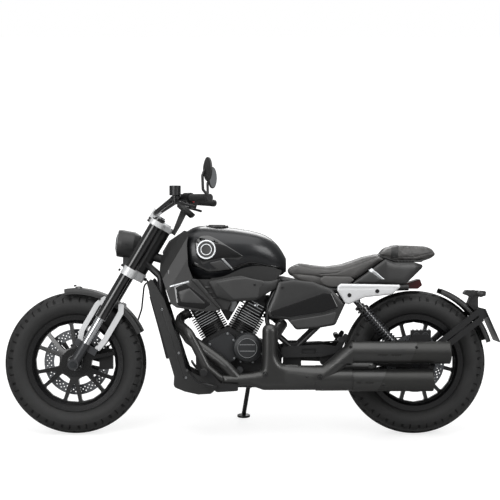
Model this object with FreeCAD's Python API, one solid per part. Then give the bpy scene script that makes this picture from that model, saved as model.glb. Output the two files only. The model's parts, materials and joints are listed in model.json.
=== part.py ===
import FreeCAD, Part
import math
import os

# Cruiser motorcycle, modelled upright and then leaned onto its side stand.
# Upright frame: X runs rearward, Y to the side away from the silencers, Z up from the ground.
# Lengths are in millimetres and angles in degrees.

# Stance
lean = 9.0
head_x = 345.0
head_z = 825.0
head_length = 216.0
rake = 30.5
fork_offset = 41.0
rear_axle_x = 1532.0
front_axle_height = 320.0

# Tyres and rims
front_tyre_radius = 320.0
front_tyre_width = 130.0
front_crown = 70.0
rear_tyre_radius = 323.0
rear_tyre_width = 150.0
rear_crown = 80.0
bead_radius = 203.0
flange_radius = 218.0
rim_window_radius = 184.0
front_rim_width = 90.0
rear_rim_width = 114.0
tyre_wall = 9.0

# Hubs, axles and brakes
front_axle_radius = 10.0
rear_axle_radius = 12.0
front_hub_half = 48.0
rear_hub_half = 76.0
hub_radius = 38.0
front_disc_radius = 150.0
front_disc_band = 45.0
rear_disc_radius = 130.0
rear_disc_band = 40.0
disc_thickness = 5.0
pulley_radius = 106.0
belt_width = 20.0
belt_thickness = 5.0

# Fork
leg_spread = 112.0
fork_tube_radius = 26.0
stanchion_radius = 18.5
stem_radius = 15.0
clamp_thickness = 24.0
lower_clamp_thickness = 39.0
clamp_sweep_radius = 158.0
fork_tube_start = 241.0
fender_clearance = 18.0
fender_half = 77.0
fender_wall = 4.0
stay_thickness = 8.0
hose_radius = 4.0

# Handlebar
bar_radius = 11.0
grip_radius = 16.5
grip_length = 125.0

# Frame
head_tube_radius = 30.0
backbone_radius = 20.0
cradle_radius = 14.0
side_tube_radius = 10.0
pivot_radius = 9.0
case_floor = 246.0
cradle_half = 60.0
rail_half = 112.0
pivot_x = 985.0
pivot_z = 355.0

# Engine
front_pulley_x = 905.0
front_pulley_radius = 38.0
crank_x = 690.0
crank_z = 354.0
case_half = 92.0
vee_half_angle = 29.0
barrel_foot = 115.0
barrel_height = 108.0
fin_count = 10
fin_thickness = 3.6
fin_length = 132.0
fin_width = 152.0
head_height = 66.0
rocker_height = 34.0

# Exhaust
exhaust_y = -215.0
pipe_radius = 21.0
can_radius = 50.0
can_wall = 2.5
upper_can_z = 379.0
lower_can_z = 258.0
upper_can_end = 1672.0
lower_can_end = 1597.0
shield_wall = 2.5

# Bodywork
tank_half = 135.0
panel_inner = 132.0
panel_wall = 13.0
bright_inner = 145.6
shroud_seat = -132.4
seat_half = 140.0

# Side stand
stand_pivot_x = 790.0
stand_reach = 70.0
stand_root_z = 214.0
stand_tilt = 20.0
stand_pin_radius = 7.0
stand_foot_x = 760.0
stand_foot_y = 290.0

# Threaded hole for a workshop stand's bobbin, and the number plate's holes
bobbin_hole_radius = 4.0
bobbin_hole_depth = 12.0
bobbin_x = 1440.0
bobbin_z = 339.0
plate_hole_radius = 3.2
plate_hole_spacing = 150.0

# Clearances
running_fit = 0.05
gap = 0.3
belt_y = rear_hub_half + gap + 4
pulley_cover_y = belt_y + belt_width + 6

sin_rake = math.sin(math.radians(rake))
cos_rake = math.cos(math.radians(rake))
axle_z = front_axle_height
head_to_axle = (head_z + fork_offset * sin_rake - axle_z) / cos_rake
axle_x = head_x - head_to_axle * sin_rake - fork_offset * cos_rake
front_floor = front_axle_height - front_tyre_radius
fender_radius = front_tyre_radius + fender_clearance
lean_rise = (1 - math.cos(math.radians(lean))) / math.cos(math.radians(lean))
rear_axle_z = rear_tyre_radius + (rear_crown - front_crown) * lean_rise
lower_clamp_top = head_to_axle - head_length / 2 - 1
upper_clamp_base = head_to_axle + head_length / 2 + 1
upper_clamp_top = upper_clamp_base + clamp_thickness
lower_clamp_base = lower_clamp_top - lower_clamp_thickness
tan_lean = math.tan(math.radians(lean))
stand_axis = FreeCAD.Vector(0, -math.cos(math.radians(stand_tilt)), -math.sin(math.radians(stand_tilt)))
stand_pivot = FreeCAD.Vector(stand_pivot_x, cradle_half, stand_root_z) - stand_axis * stand_reach

X = FreeCAD.Vector(1, 0, 0)
Y = FreeCAD.Vector(0, 1, 0)
Z = FreeCAD.Vector(0, 0, 1)
nodes = {}


def vec(x, y, z):
    return FreeCAD.Vector(x, y, z)


def chain(points, closed=True):
    """Wire along points (x, y, z, r), with a tangent arc of radius r at each corner."""
    spots = [vec(*point[:3]) for point in points]
    count = len(spots)
    corners = []
    for i, spot in enumerate(spots):
        radius = points[i][3]
        if radius == 0 or (not closed and i in (0, count - 1)):
            corners.append((spot, None, spot))
            continue
        back = (spots[i - 1] - spot).normalize()
        ahead = (spots[(i + 1) % count] - spot).normalize()
        half = back.getAngle(ahead) / 2
        reach = radius / math.tan(half)
        inward = (back + ahead).normalize()
        middle = spot + inward * (radius / math.sin(half) - radius)
        corners.append((spot + back * reach, middle, spot + ahead * reach))
    edges = []
    for i, (start, middle, end) in enumerate(corners):
        if middle is not None:
            edges.append(Part.Arc(start, middle, end).toShape())
        if closed or i < count - 1:
            following = corners[(i + 1) % count][0]
            if end.distanceToPoint(following) > 1e-4:
                edges.append(Part.makeLine(end, following))
    return Part.Wire(edges)


def side_plate(outline, low, high):
    """Prism of an (x, z, r) outline between two Y planes."""
    face = Part.Face(chain([(x, low, z, r) for x, z, r in outline]))
    return face.extrude(vec(0, high - low, 0))


def plan_plate(outline, low, high):
    """Prism of an (x, y, r) outline between two Z planes."""
    face = Part.Face(chain([(x, y, low, r) for x, y, r in outline]))
    return face.extrude(vec(0, 0, high - low))


def turned(base, axis, radial, profile, angle=360.0):
    """Solid turned about an axis from an (along, out, r) profile."""
    points = []
    for along, out, radius in profile:
        spot = base + axis * along + radial * out
        points.append((spot.x, spot.y, spot.z, radius))
    return Part.Face(chain(points)).revolve(base, axis, angle)


def rod(start, end, radius, bore=0.0):
    run = end - start
    solid = Part.makeCylinder(radius, run.Length, start, run)
    if bore:
        solid = solid.cut(Part.makeCylinder(bore, run.Length, start, run))
    return solid


def bent_tube(points, radius, bore=0.0):
    """Round tube along straight runs and tangent arcs through (x, y, z, r)."""
    path = chain(points, closed=False)
    start = vec(*points[0][:3])
    heading = vec(*points[1][:3]) - start
    rings = [radius, bore] if bore else [radius]
    solids = []
    for ring in rings:
        circle = Part.Wire(Part.Circle(start, heading, ring).toShape())
        solids.append(path.makePipeShell([circle], True, True))
    return solids[0].cut(solids[1]) if bore else solids[0]


def mirrored(shape):
    return shape.mirror(vec(0, 0, 0), Y)


def both(shape):
    return [shape, mirrored(shape)]


def joined(shapes):
    """One solid out of touching shapes, without the seams between them."""
    return shapes[0].multiFuse(shapes[1:]).removeSplitter()


def on_fork(shape):
    """From fork axes (x behind the legs, z up along them, origin on the axle) to the upright frame."""
    moved = shape.copy()
    moved.rotate(vec(0, 0, 0), Y, rake)
    moved.translate(vec(axle_x, 0, axle_z))
    return moved


def fork_point(behind, y, along):
    return vec(axle_x + behind * cos_rake + along * sin_rake, y,
               axle_z - behind * sin_rake + along * cos_rake)


def polar(centre_x, centre_z, radius, angle):
    turn = math.radians(angle)
    return centre_x + radius * math.cos(turn), centre_z + radius * math.sin(turn)


def put(name, shapes):
    nodes[name] = shapes if isinstance(shapes, list) else [shapes]


# Wheels: cast rims with six forked spokes, tyres, discs and the belt pulley.
def tyre(centre, radius, width, crown, rim_width):
    bead = rim_width / 2 - 7 - gap
    seat = bead_radius + gap
    shoulder_turn = math.radians(50)
    shoulder_y = crown * math.sin(shoulder_turn)
    shoulder_r = radius - crown * (1 - math.cos(shoulder_turn))
    widest = (shoulder_r + flange_radius) / 2
    inner_radius = radius - 1.5 * tyre_wall

    def spot(y, r):
        return centre + Y * y + Z * r

    edges = [
        Part.Arc(spot(-shoulder_y, shoulder_r), spot(0, radius), spot(shoulder_y, shoulder_r)).toShape(),
        Part.Arc(spot(shoulder_y, shoulder_r), spot(width / 2, widest), spot(bead, flange_radius)).toShape(),
        Part.makeLine(spot(bead, flange_radius), spot(bead, seat)),
        Part.makeLine(spot(bead, seat), spot(bead - tyre_wall, seat)),
        Part.makeLine(spot(bead - tyre_wall, seat), spot(width / 2 - tyre_wall, widest)),
        Part.makeLine(spot(width / 2 - tyre_wall, widest), spot(shoulder_y - tyre_wall, inner_radius)),
        Part.makeLine(spot(shoulder_y - tyre_wall, inner_radius), spot(tyre_wall - shoulder_y, inner_radius)),
        Part.makeLine(spot(tyre_wall - shoulder_y, inner_radius), spot(tyre_wall - width / 2, widest)),
        Part.makeLine(spot(tyre_wall - width / 2, widest), spot(tyre_wall - bead, seat)),
        Part.makeLine(spot(tyre_wall - bead, seat), spot(-bead, seat)),
        Part.makeLine(spot(-bead, seat), spot(-bead, flange_radius)),
        Part.Arc(spot(-bead, flange_radius), spot(-width / 2, widest),
                 spot(-shoulder_y, shoulder_r)).toShape(),
    ]
    return Part.Face(Part.Wire(edges)).revolve(centre, Y, 360)


def rim(centre, width, hub_half, axle_radius, first_angle):
    half = width / 2
    barrel = [
        (-half, flange_radius, 0), (-half + 5, flange_radius, 0), (-half + 7, bead_radius, 0),
        (-half + 22, bead_radius, 0), (-half + 32, bead_radius - 12, 0), (half - 32, bead_radius - 12, 0),
        (half - 22, bead_radius, 0), (half - 7, bead_radius, 0), (half - 5, flange_radius, 0),
        (half, flange_radius, 0), (half - 2, bead_radius - 8, 0), (half - 14, rim_window_radius, 0),
        (-half + 14, rim_window_radius, 0), (-half + 2, bead_radius - 8, 0),
    ]
    web = [(-24, 20, 0), (-24, 66, 0), (-13, rim_window_radius + 3, 0),
           (13, rim_window_radius + 3, 0), (24, 66, 0), (24, 20, 0)]
    spider = turned(centre, Y, Z, web)
    reach = 60.0
    windows = []
    for k in range(6):
        turn = first_angle + 60 * k
        narrow = [(98, -3, 3), (98, 3, 3), (179, 9, 5), (179, -9, 5)]
        wide = [(77, 14, 7), (179, 14, 9), (180.5, 30, 0), (179, 46, 9), (77, 46, 7), (72, 30, 0)]
        for outline in (narrow, wide):
            points = []
            for radius, offset, corner in outline:
                x, z = polar(centre.x, centre.z, radius, turn + offset)
                points.append((x, z, corner))
            windows.append(side_plate(points, -reach, reach))
    spider = spider.cut(windows)
    hub = turned(centre, Y, Z, [(-hub_half, 0, 0), (-hub_half, hub_radius, 4), (hub_half, hub_radius, 4),
                                (hub_half, 0, 0)])
    body = joined([turned(centre, Y, Z, barrel), spider, hub])
    bore = rod(centre - Y * hub_half * 2, centre + Y * hub_half * 2, axle_radius + running_fit)
    return body.cut(bore)


def brake_disc(centre, side, inner_y, radius, band, axle_radius):
    """Disc on a five-armed carrier that is bolted to the end of the hub."""
    ring = rod(centre + Y * inner_y * side, centre + Y * (inner_y + disc_thickness) * side, radius,
               radius - band)
    carrier = rod(centre + Y * inner_y * side, centre + Y * (inner_y + disc_thickness) * side,
                  radius - band + 8)
    holes = [rod(centre, centre + Y * 200 * side, axle_radius + 9)]
    middle = (radius - band + 38) / 2
    for k in range(5):
        x, z = polar(centre.x, centre.z, middle + 6, 72 * k + 18)
        holes.append(rod(vec(x, 0, z), vec(x, 200 * side, z), (radius - band) / 5))
    return joined([ring, carrier.cut(holes)])


front_centre = vec(axle_x, 0, axle_z)
rear_centre = vec(rear_axle_x, 0, rear_axle_z)
put("tyre_front", tyre(front_centre, front_tyre_radius, front_tyre_width, front_crown, front_rim_width))
put("tyre_rear", tyre(rear_centre, rear_tyre_radius, rear_tyre_width, rear_crown, rear_rim_width))
put("rim_front", rim(front_centre, front_rim_width, front_hub_half, front_axle_radius, 265.5))
put("rim_rear", rim(rear_centre, rear_rim_width, rear_hub_half, rear_axle_radius, 0.0))
put("disc_front", brake_disc(front_centre, 1, front_hub_half + gap, front_disc_radius, front_disc_band,
                             front_axle_radius))
put("disc_rear", brake_disc(rear_centre, -1, rear_hub_half + gap, rear_disc_radius, rear_disc_band,
                            rear_axle_radius))
pulley_start = rear_hub_half + gap
pulley_profile = [(0, 24, 0), (0, pulley_radius + 6, 0), (3, pulley_radius + 6, 0), (3, pulley_radius, 0),
                  (5 + belt_width, pulley_radius, 0), (5 + belt_width, pulley_radius + 6, 0),
                  (8 + belt_width, pulley_radius + 6, 0), (8 + belt_width, 90, 0), (8, 84, 0), (8, 24, 0)]
pulley = turned(rear_centre + Y * pulley_start, Y, Z, pulley_profile)
lightening = []
for k in range(5):
    x, z = polar(rear_axle_x, rear_axle_z, 58, 72 * k)
    lightening.append(rod(vec(x, 0, z), vec(x, 200, z), 16))
put("pulley_rear", pulley.cut(lightening))

# Front fork: upside-down legs in two clamps, with feet that clamp the axle.
clamp_outline = [(-34, -150, 30), (34, -150, 30), (38, -72, 20), (74, -34, 22), (74, 34, 22), (38, 72, 20),
                 (34, 150, 30), (-34, 150, 30)]


def clamp(base, top, front_edge):
    outline = [(front_edge if x == -34 else x, y, r) for x, y, r in clamp_outline]
    body = plan_plate(outline, base, top)
    for y in (-leg_spread, leg_spread):
        body = body.cut(rod(vec(0, y, base - 1), vec(0, y, top + 1), fork_tube_radius + running_fit))
    return body


stem_base = vec(fork_offset, 0, lower_clamp_base)
stem_top = vec(fork_offset, 0, upper_clamp_top - 2)
stem = rod(stem_base, stem_top, stem_radius)
put("lower_clamp", on_fork(joined([clamp(lower_clamp_base, lower_clamp_top, -27), stem])))
upper_clamp = clamp(upper_clamp_base, upper_clamp_top, -34)
upper_clamp = upper_clamp.cut(rod(vec(fork_offset, 0, 0), stem_top, stem_radius + running_fit))
stem_nut = rod(vec(fork_offset, 0, upper_clamp_top), vec(fork_offset, 0, upper_clamp_top + 8), 19)
bar_behind = -30.0
bar_along = upper_clamp_top + 24
saddles = []
for y in (-32.0, 32.0):
    block = Part.makeBox(34, 30, bar_along + bar_radius + 7 - upper_clamp_top,
                         vec(bar_behind - 17, y - 15, upper_clamp_top))
    saddles.append(block.cut(rod(vec(bar_behind, y - 20, bar_along), vec(bar_behind, y + 20, bar_along),
                                 bar_radius + running_fit)))
put("upper_clamp", on_fork(joined([upper_clamp, stem_nut] + saddles)))

fork_tubes = []
sliders = []
foot_radius = 21.5
stay_inner = fender_half + gap
caliper_face = front_hub_half + 26 + 2 * gap
stanchion_top = fork_tube_start + 90
foot_top = 108.0
for y in (-leg_spread, leg_spread):
    tube = rod(vec(0, y, fork_tube_start), vec(0, y, upper_clamp_top + 6), fork_tube_radius)
    cap = rod(vec(0, y, upper_clamp_top + 6), vec(0, y, upper_clamp_top + 14), 19)
    bore = rod(vec(0, y, 0), vec(0, y, stanchion_top + 1), stanchion_radius + running_fit)
    fork_tubes.append(on_fork(joined([tube, cap]).cut(bore)))
    side = 1 if y > 0 else -1
    leg = rod(vec(0, y, 0), vec(0, y, foot_top), foot_radius)
    boss = rod(vec(0, y - 22, 0), vec(0, y + 22, 0), 25)
    ear_inner = side * (stay_inner + stay_thickness + gap)
    ear_outer = y - 8 * side
    ears = plan_plate([(-46, ear_inner, 0), (62, ear_inner, 0), (62, ear_outer, 0), (-46, ear_outer, 0)],
                      foot_top - 30, foot_top)
    foot = joined([leg, boss, ears, rod(vec(0, y, 60), vec(0, y, stanchion_top), stanchion_radius)])
    if side == 1:
        lugs = [rod(vec(12, caliper_face, along), vec(12, y, along), 9) for along in (40, 80)]
        foot = joined([foot] + lugs)
    foot = foot.cut(rod(vec(0, y - 30, 0), vec(0, y + 30, 0), front_axle_radius + running_fit))
    sliders.append(on_fork(foot))
put("fork_tubes", fork_tubes)
put("fork_sliders", sliders)

foot_outer = leg_spread + 22
spacer_end = leg_spread - 22 - gap
front_axle = [rod(vec(axle_x, -foot_outer - 9, axle_z), vec(axle_x, foot_outer + 9, axle_z),
                  front_axle_radius)]
for side in (-1, 1):
    front_axle.append(rod(vec(axle_x, side * (front_hub_half + 2 * gap), axle_z),
                          vec(axle_x, side * spacer_end, axle_z), 17))
    front_axle.append(rod(vec(axle_x, side * (foot_outer + gap), axle_z),
                          vec(axle_x, side * (foot_outer + 9), axle_z), 15))
put("front_axle", joined(front_axle))

# Front mudguard with its bright stays.
guard_turn = 73.0
guard_start = math.radians(98.0)
radial = vec(math.cos(guard_start), 0, math.sin(guard_start))


def guard(centre, radial, outer, half, wall, skirt, turn):
    profile = [(-half, outer - skirt, 0), (-half, outer, wall * 4), (half, outer, wall * 4),
               (half, outer - skirt, 0),
               (half - wall, outer - skirt, 0), (half - wall, outer - wall, wall * 3),
               (wall - half, outer - wall, wall * 3), (wall - half, outer - skirt, 0)]
    return turned(centre, Y, radial, profile, turn)


put("front_mudguard", guard(front_centre, radial, fender_radius, fender_half, fender_wall, 26, guard_turn))
front_stay = [(143, 628, 8), (111, 610, 14), (93, 592, 20), (24, 473, 40), (9, 398, 8), (32, 394, 8),
              (46, 466, 40), (114, 582, 12), (148, 596, 8)]
rear_stay = [(200, 596, 8), (224, 584, 8), (222, 545, 24), (146, 416, 30), (112, 376, 8), (88, 388, 8),
             (126, 430, 30), (198, 556, 12)]


def fork_shifted(outline):
    """Outline measured with the axle at zero X, moved to the real axle."""
    return [(x + axle_x, z, r) for x, z, r in outline]


stays = []
for outline in (front_stay, rear_stay):
    stays += both(side_plate(fork_shifted(outline), -stay_inner - stay_thickness, -stay_inner))
put("mudguard_stays", stays)

# Headlamp on a bracket from the lower clamp.
lamp_base = vec(205, 0, 860)
lamp_axis = vec(1, 0, -0.1).normalize()
lamp_radial = vec(0.1, 0, 1).normalize()
shell = turned(lamp_base, lamp_axis, lamp_radial,
               [(0, 0, 0), (0, 52, 0), (-14, 52, 0), (-14, 60, 2), (6, 62, 4), (60, 58, 10), (88, 44, 12),
                (94, 0, 0)])
lamp_foot = [fork_point(-27 - gap, 0, along) for along in (lower_clamp_base + 4, lower_clamp_top + 1)]
lamp_bracket = side_plate([(lamp_foot[0].x, lamp_foot[0].z, 0), (lamp_foot[1].x, lamp_foot[1].z, 0),
                           (262, 806, 4), (214, 806, 4)], -14, 14)
put("headlamp_shell", joined([shell, lamp_bracket]))
put("headlamp_lens", turned(lamp_base, lamp_axis, lamp_radial,
                            [(-gap, 0, 0), (-gap, 51.7, 0), (-14, 51.7, 0), (-24, 30, 20), (-26, 0, 0)]))

# Handlebar, grips, switch units, levers, instrument and mirrors.
bar_centre = fork_point(bar_behind, 0, bar_along)
bar_bend = (454.0, 195.0, 1062.0)
bar_tip = (608.0, 400.0, 1056.0)
half_bar = [(bar_centre.x, 70.0, bar_centre.z, 55.0), (*bar_bend, 70.0), (*bar_tip, 0.0)]
bar_points = [(x, -y, z, r) for x, y, z, r in reversed(half_bar)] + half_bar
put("handlebar", bent_tube(bar_points, bar_radius))
grip_run = (vec(*bar_tip) - vec(*bar_bend)).normalize()
put("grips", both(rod(vec(*bar_tip) - grip_run * grip_length, vec(*bar_tip), grip_radius,
                      bar_radius + running_fit)))


def along_bar(back, out=0.0, up=0.0):
    """Point on the near grip's line, back from the bar's tip, moved out ahead of the bar and up."""
    ahead = vec(-grip_run.y, grip_run.x, 0).normalize()
    spot = vec(*bar_tip) - grip_run * back + ahead * out + Z * up
    return vec(spot.x, -spot.y, spot.z)


switchgear = []
for side in (-1, 1):
    housing = joined([
        rod(along_bar(grip_length + 2), along_bar(grip_length + 44), 22),
        rod(along_bar(grip_length + 23), along_bar(grip_length + 23, 0, -34), 17),
    ])
    perch = joined([
        rod(along_bar(grip_length + 50), along_bar(grip_length + 74), 17),
        rod(along_bar(grip_length + 62), along_bar(grip_length + 62, 38, -2), 11),
        rod(along_bar(grip_length + 62, 42, -14), along_bar(grip_length + 62, 42, 12), 13),
        rod(along_bar(grip_length + 90, 40, -2), along_bar(grip_length + 40, 44, -2), 8),
    ])
    if side == -1:
        reservoir = rod(along_bar(grip_length + 62, 42, 10), along_bar(grip_length + 62, 42, 52), 25)
        perch = joined([perch, reservoir])
    lever = bent_tube([(*along_bar(grip_length + 62, 42, -22), 0),
                       (*along_bar(grip_length - 10, 56, -26), 60),
                       (*along_bar(30, 42, -40), 0)], 6)
    pivot = rod(along_bar(grip_length + 62, 42, -30), along_bar(grip_length + 62, 42, -14.2), 9)
    lever = joined([lever, pivot])
    bore = rod(along_bar(0), along_bar(grip_length + 100), bar_radius + running_fit)
    for shape in (housing.cut(bore), perch.cut(bore), lever):
        switchgear.append(shape if side == -1 else mirrored(shape))
put("switchgear", switchgear)

dial_axis = vec(math.sin(math.radians(41)), 0, math.cos(math.radians(41)))
dial_centre = vec(497, 0, 1012)
dial_cross = vec(-dial_axis.z, 0, dial_axis.x)
instrument = turned(dial_centre, dial_axis, dial_cross,
                    [(-14, 0, 0), (-14, 40, 6), (-2, 48, 4), (14, 48, 3), (14, 43, 0), (11, 43, 0),
                     (11, 0, 0)])
dial_arm = side_plate([(431.5, 906.1, 0), (440.8, 921.5, 0), (450, 945, 10), (476, 1012, 0), (500, 992, 0),
                       (474, 940, 14), (447.9, 896.4, 0)], -9, 9)
put("instrument", joined([instrument, dial_arm]))

mirror_centre = vec(606, -424, 1178)
mirror_face = vec(0.94, 0.34, 0).normalize()
clamp_start = vec(*bar_tip) + grip_run * gap
clamp_end = vec(*bar_tip) + grip_run * 16
mirror = joined([
    rod(vec(clamp_start.x, -clamp_start.y, clamp_start.z), vec(clamp_end.x, -clamp_end.y, clamp_end.z), 17),
    bent_tube([(612, -408, 1062, 0), (588, -416, 1090, 16), (586, -424, 1150, 14), (597, -424, 1178, 0)], 6),
    turned(mirror_centre, mirror_face, Z, [(-9, 0, 0), (-9, 30, 8), (0, 52, 3), (6, 52, 1), (6, 0, 0)]),
])
put("mirrors", both(mirror))

# Front brake caliper on the far leg, over the back of the disc.
caliper_x, caliper_z = polar(axle_x, axle_z, front_disc_radius - 16, 6)
disc_in = front_hub_half + gap
caliper = Part.makeBox(62, 40, 92, vec(caliper_x - 31, disc_in - 14, caliper_z - 46))
slot = rod(vec(axle_x, disc_in - 2.5, axle_z), vec(axle_x, disc_in + disc_thickness + 2.5, axle_z),
           front_disc_radius + 5)
caliper = caliper.cut(slot)
bolt_low = fork_point(12, 0, 40)
bolt_high = fork_point(12, 0, 80)
bracket = side_plate([(bolt_low.x - 12, bolt_low.z - 4, 8), (bolt_high.x - 12, bolt_high.z + 6, 8),
                      (bolt_high.x + 8, bolt_high.z + 8, 6), (caliper_x + 20, caliper_z + 40, 8),
                      (caliper_x + 20, caliper_z - 30, 8), (bolt_low.x + 4, bolt_low.z - 14, 6)],
                     caliper_face - gap - 8, caliper_face - gap)
put("front_caliper", joined([caliper, bracket]))

# Brake hose: from the caliper up behind the far leg to a union on the lower clamp, and from the clamp's
# front edge up to the lever on the near side.
union = fork_point(74 + gap, 22, lower_clamp_top - 18)
ferrule = vec(caliper_x + 6, disc_in + 12, caliper_z + 46 + gap)
hose_low = bent_tube([(ferrule.x, ferrule.y, ferrule.z + 8, 0), (caliper_x + 46, 84, caliper_z + 86, 26),
                      (262, 99, 470, 60), (292, 96, 560, 60), (306, 60, 676, 40),
                      (union.x + 24, 22, union.z - 14, 12), (union.x + 5, 22, union.z - 3, 0)], hose_radius)
banjo = rod(union, union + vec(cos_rake, 0, -sin_rake) * 10, 8)
put("brake_hose", joined([hose_low, banjo, rod(ferrule, ferrule + Z * 14, 7)]))

# Frame: steering head, backbone, seat rails and swingarm pivot plates, with two bolted cradle rails that
# carry the engine and the side stand.
head = vec(head_x, 0, head_z)
up_head = vec(sin_rake, 0, cos_rake)
head_low = head - up_head * (head_length / 2)
head_high = head + up_head * (head_length / 2)
head_tube = rod(head_low, head_high, head_tube_radius)
spine_start = head - up_head * 22
backbone = bent_tube([(*spine_start, 0), (520, 0, 752, 120), (905, 0, 694, 0)], backbone_radius)
tubes = [head_tube, backbone]
down_start = head - up_head * 60
down_elbow = fork_point(fork_offset + 92, -45, lower_clamp_top + 30)
cradle_low = 226.0
half_tubes = [
    bent_tube([(900, 0, 694, 0), (930, -rail_half, 700, 40), (1160, -rail_half, 650, 150),
               (1500, -rail_half + 14, 664, 0)], cradle_radius),
    bent_tube([(925, -rail_half, 699, 0), (872, -rail_half, 585, 60), (866, -rail_half, 490, 50),
               (pivot_x, -rail_half, pivot_z + 30, 0)], side_tube_radius),
    bent_tube([(pivot_x + 14, -rail_half, pivot_z + 40, 0), (1266, -rail_half, 652, 0)], side_tube_radius),
    side_plate([(pivot_x - 44, pivot_z + 60, 18), (pivot_x + 34, pivot_z + 60, 18),
                (pivot_x + 34, pivot_z - 66, 18), (pivot_x - 44, pivot_z - 66, 18)], -rail_half - 6,
               -rail_half + 6),
    rod(vec(1266, -rail_half + 10, 604), vec(1266, -rail_half - 14, 604), 14),
    rod(vec(1266, -rail_half, 604), vec(1266, -rail_half, 650), 11),
]
for x, z, reach in ((1233, 633, bright_inner), (1354, 652, bright_inner), (1000, 684, panel_inner),
                    (1110, 502, panel_inner), (906, 684, panel_inner)):
    half_tubes.append(rod(vec(x, -rail_half, z), vec(x, gap - reach, z), 7))
for tube in half_tubes:
    tubes += both(tube)
for x, z in ((1160, 655), (1440, 662)):
    tubes.append(rod(vec(x, -rail_half, z), vec(x, rail_half, z), 9))
for x, high in ((540, 778), (860, 731)):
    tubes.append(side_plate([(x - 12, 700, 0), (x + 12, 700, 0), (x + 12, high - 1, 0), (x - 12, high, 0)],
                            -14, 14))
pivot_end = rail_half + 14
tubes.append(rod(vec(pivot_x, -pivot_end, pivot_z), vec(pivot_x, pivot_end, pivot_z), pivot_radius))
frame = joined(tubes)
frame = frame.cut([
    rod(head_low - up_head, head_high + up_head, stem_radius + running_fit),
    rod(head_low + up_head * 14, head_high - up_head * 14, head_tube_radius - 6),
])
put("frame", frame)
rail_tube = bent_tube([(down_start.x, -14, down_start.z, 0), (down_elbow.x, -45, down_elbow.z, 30),
                       (392, -cradle_half, 640, 40), (490, -cradle_half, 330, 90),
                       (530, -cradle_half, cradle_low, 60), (860, -cradle_half, cradle_low, 40),
                       (925, -rail_half, cradle_low, 40), (pivot_x, -rail_half, pivot_z - 64, 0)],
                      cradle_radius)
rail_parts = [
    rail_tube,
    bent_tube([(411, -cradle_half, 582, 0), (455, -100, 600, 20), (455, shroud_seat, 600, 0)], 6),
    rod(vec(402, -cradle_half, 607), vec(377.4, -cradle_half, 600.2), 6),
    rod(vec(473, -cradle_half, 384), vec(440, -cradle_half, 374.8), 6),
]
for x in (590, 790):
    rail_parts.append(side_plate([(x, cradle_low, 0), (x + 22, cradle_low, 0), (x + 22, case_floor - gap, 0),
                                  (x, case_floor - gap, 0)], -cradle_half - 10, -cradle_half + 10))
stand_lug_start = stand_pivot - stand_axis * 7.4
stand_lug = [rod(stand_lug_start, stand_pivot + stand_axis * 70, 16),
             rod(stand_pivot + stand_axis * 6, stand_pivot - stand_axis * 26, stand_pin_radius)]
head_core = rod(head_low, head_high, head_tube_radius)
near_rail = joined(rail_parts).cut([frame, head_core])
far_rail = joined([mirrored(part) for part in rail_parts] + stand_lug).cut([frame, head_core])
rails = [near_rail, far_rail]
for x in (540, 800):
    rails.append(rod(vec(x, -cradle_half, cradle_low), vec(x, cradle_half, cradle_low), 11).cut(rails[:2]))
put("frame_cradle", rails)

# Radiator ahead of the cradle tubes, with a cover on each side.
core = side_plate([(336, 652, 6), (366, 640, 4), (446, 352, 4), (416, 344, 6)], -panel_inner + gap,
                  panel_inner - gap)
put("radiator", core)
cover = side_plate([(328, 688, 8), (350, 704, 8), (408, 610, 20), (480, 386, 60), (504, 299, 30),
                    (560, 271, 30),
                    (620, 258, 12), (636, 208, 8), (616, 190, 14), (560, 187, 20), (500, 200, 20),
                    (449, 221, 20),
                    (452, 268, 20)], -panel_inner - panel_wall, -panel_inner)
clamp_sweep = rod(fork_point(fork_offset, 0, lower_clamp_base - 6), fork_point(fork_offset, 0,
                                                                               lower_clamp_top + 8),
                  clamp_sweep_radius)
put("radiator_covers", both(cover.cut(clamp_sweep)))

# Engine: crankcase, two finned barrels in a vee, heads with rocker covers, and side covers.
vee = math.radians(vee_half_angle)


def vee_point(way, along, across):
    """Point up a barrel's axis and across it; way is -1 for the front barrel."""
    return (crank_x + way * (along * math.sin(vee) + across * math.cos(vee)),
            crank_z + along * math.cos(vee) - across * math.sin(vee))


fin_half = fin_length / 2
case_top = [(*vee_point(-1, barrel_foot, fin_half), 0), (*vee_point(1, barrel_foot, fin_half), 0)]
notch_z = crank_z + barrel_foot / math.cos(vee)
crankcase = side_plate([(548, 300, 30), (545, 400, 20), case_top[0], (crank_x, notch_z, 0), case_top[1],
                        (850, 430, 20), (862, 350, 30), (850, 262, 30), (800, case_floor, 20),
                        (600, case_floor, 30)],
                       -case_half, case_half)
gearbox = side_plate([(840, 424, 6), (900, 418, 30), (936, 350, 30), (900, 276, 30), (840, 268, 6)], -62, 62)
shaft = rod(vec(front_pulley_x, 50, pivot_z), vec(front_pulley_x, pulley_cover_y - gap, pivot_z), 16)
output = rod(vec(front_pulley_x, belt_y - 3, pivot_z), vec(front_pulley_x, belt_y + belt_width + 3, pivot_z),
             front_pulley_radius)
put("crankcase", joined([crankcase, gearbox, shaft, output]))


def barrel(way):
    """Finned barrel and its head, built upright at the crank and leaned into the vee."""
    core = rod(vec(0, 0, barrel_foot + gap), vec(0, 0, barrel_foot + barrel_height), 50)
    shapes = [core]
    pitch = barrel_height / fin_count
    for k in range(fin_count):
        base = barrel_foot + gap + pitch * k
        shapes.append(plan_plate([(-fin_half, -fin_width / 2, 20), (fin_half, -fin_width / 2, 20),
                                  (fin_half, fin_width / 2, 20), (-fin_half, fin_width / 2, 20)],
                                 base, base + fin_thickness))
    return shapes


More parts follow.
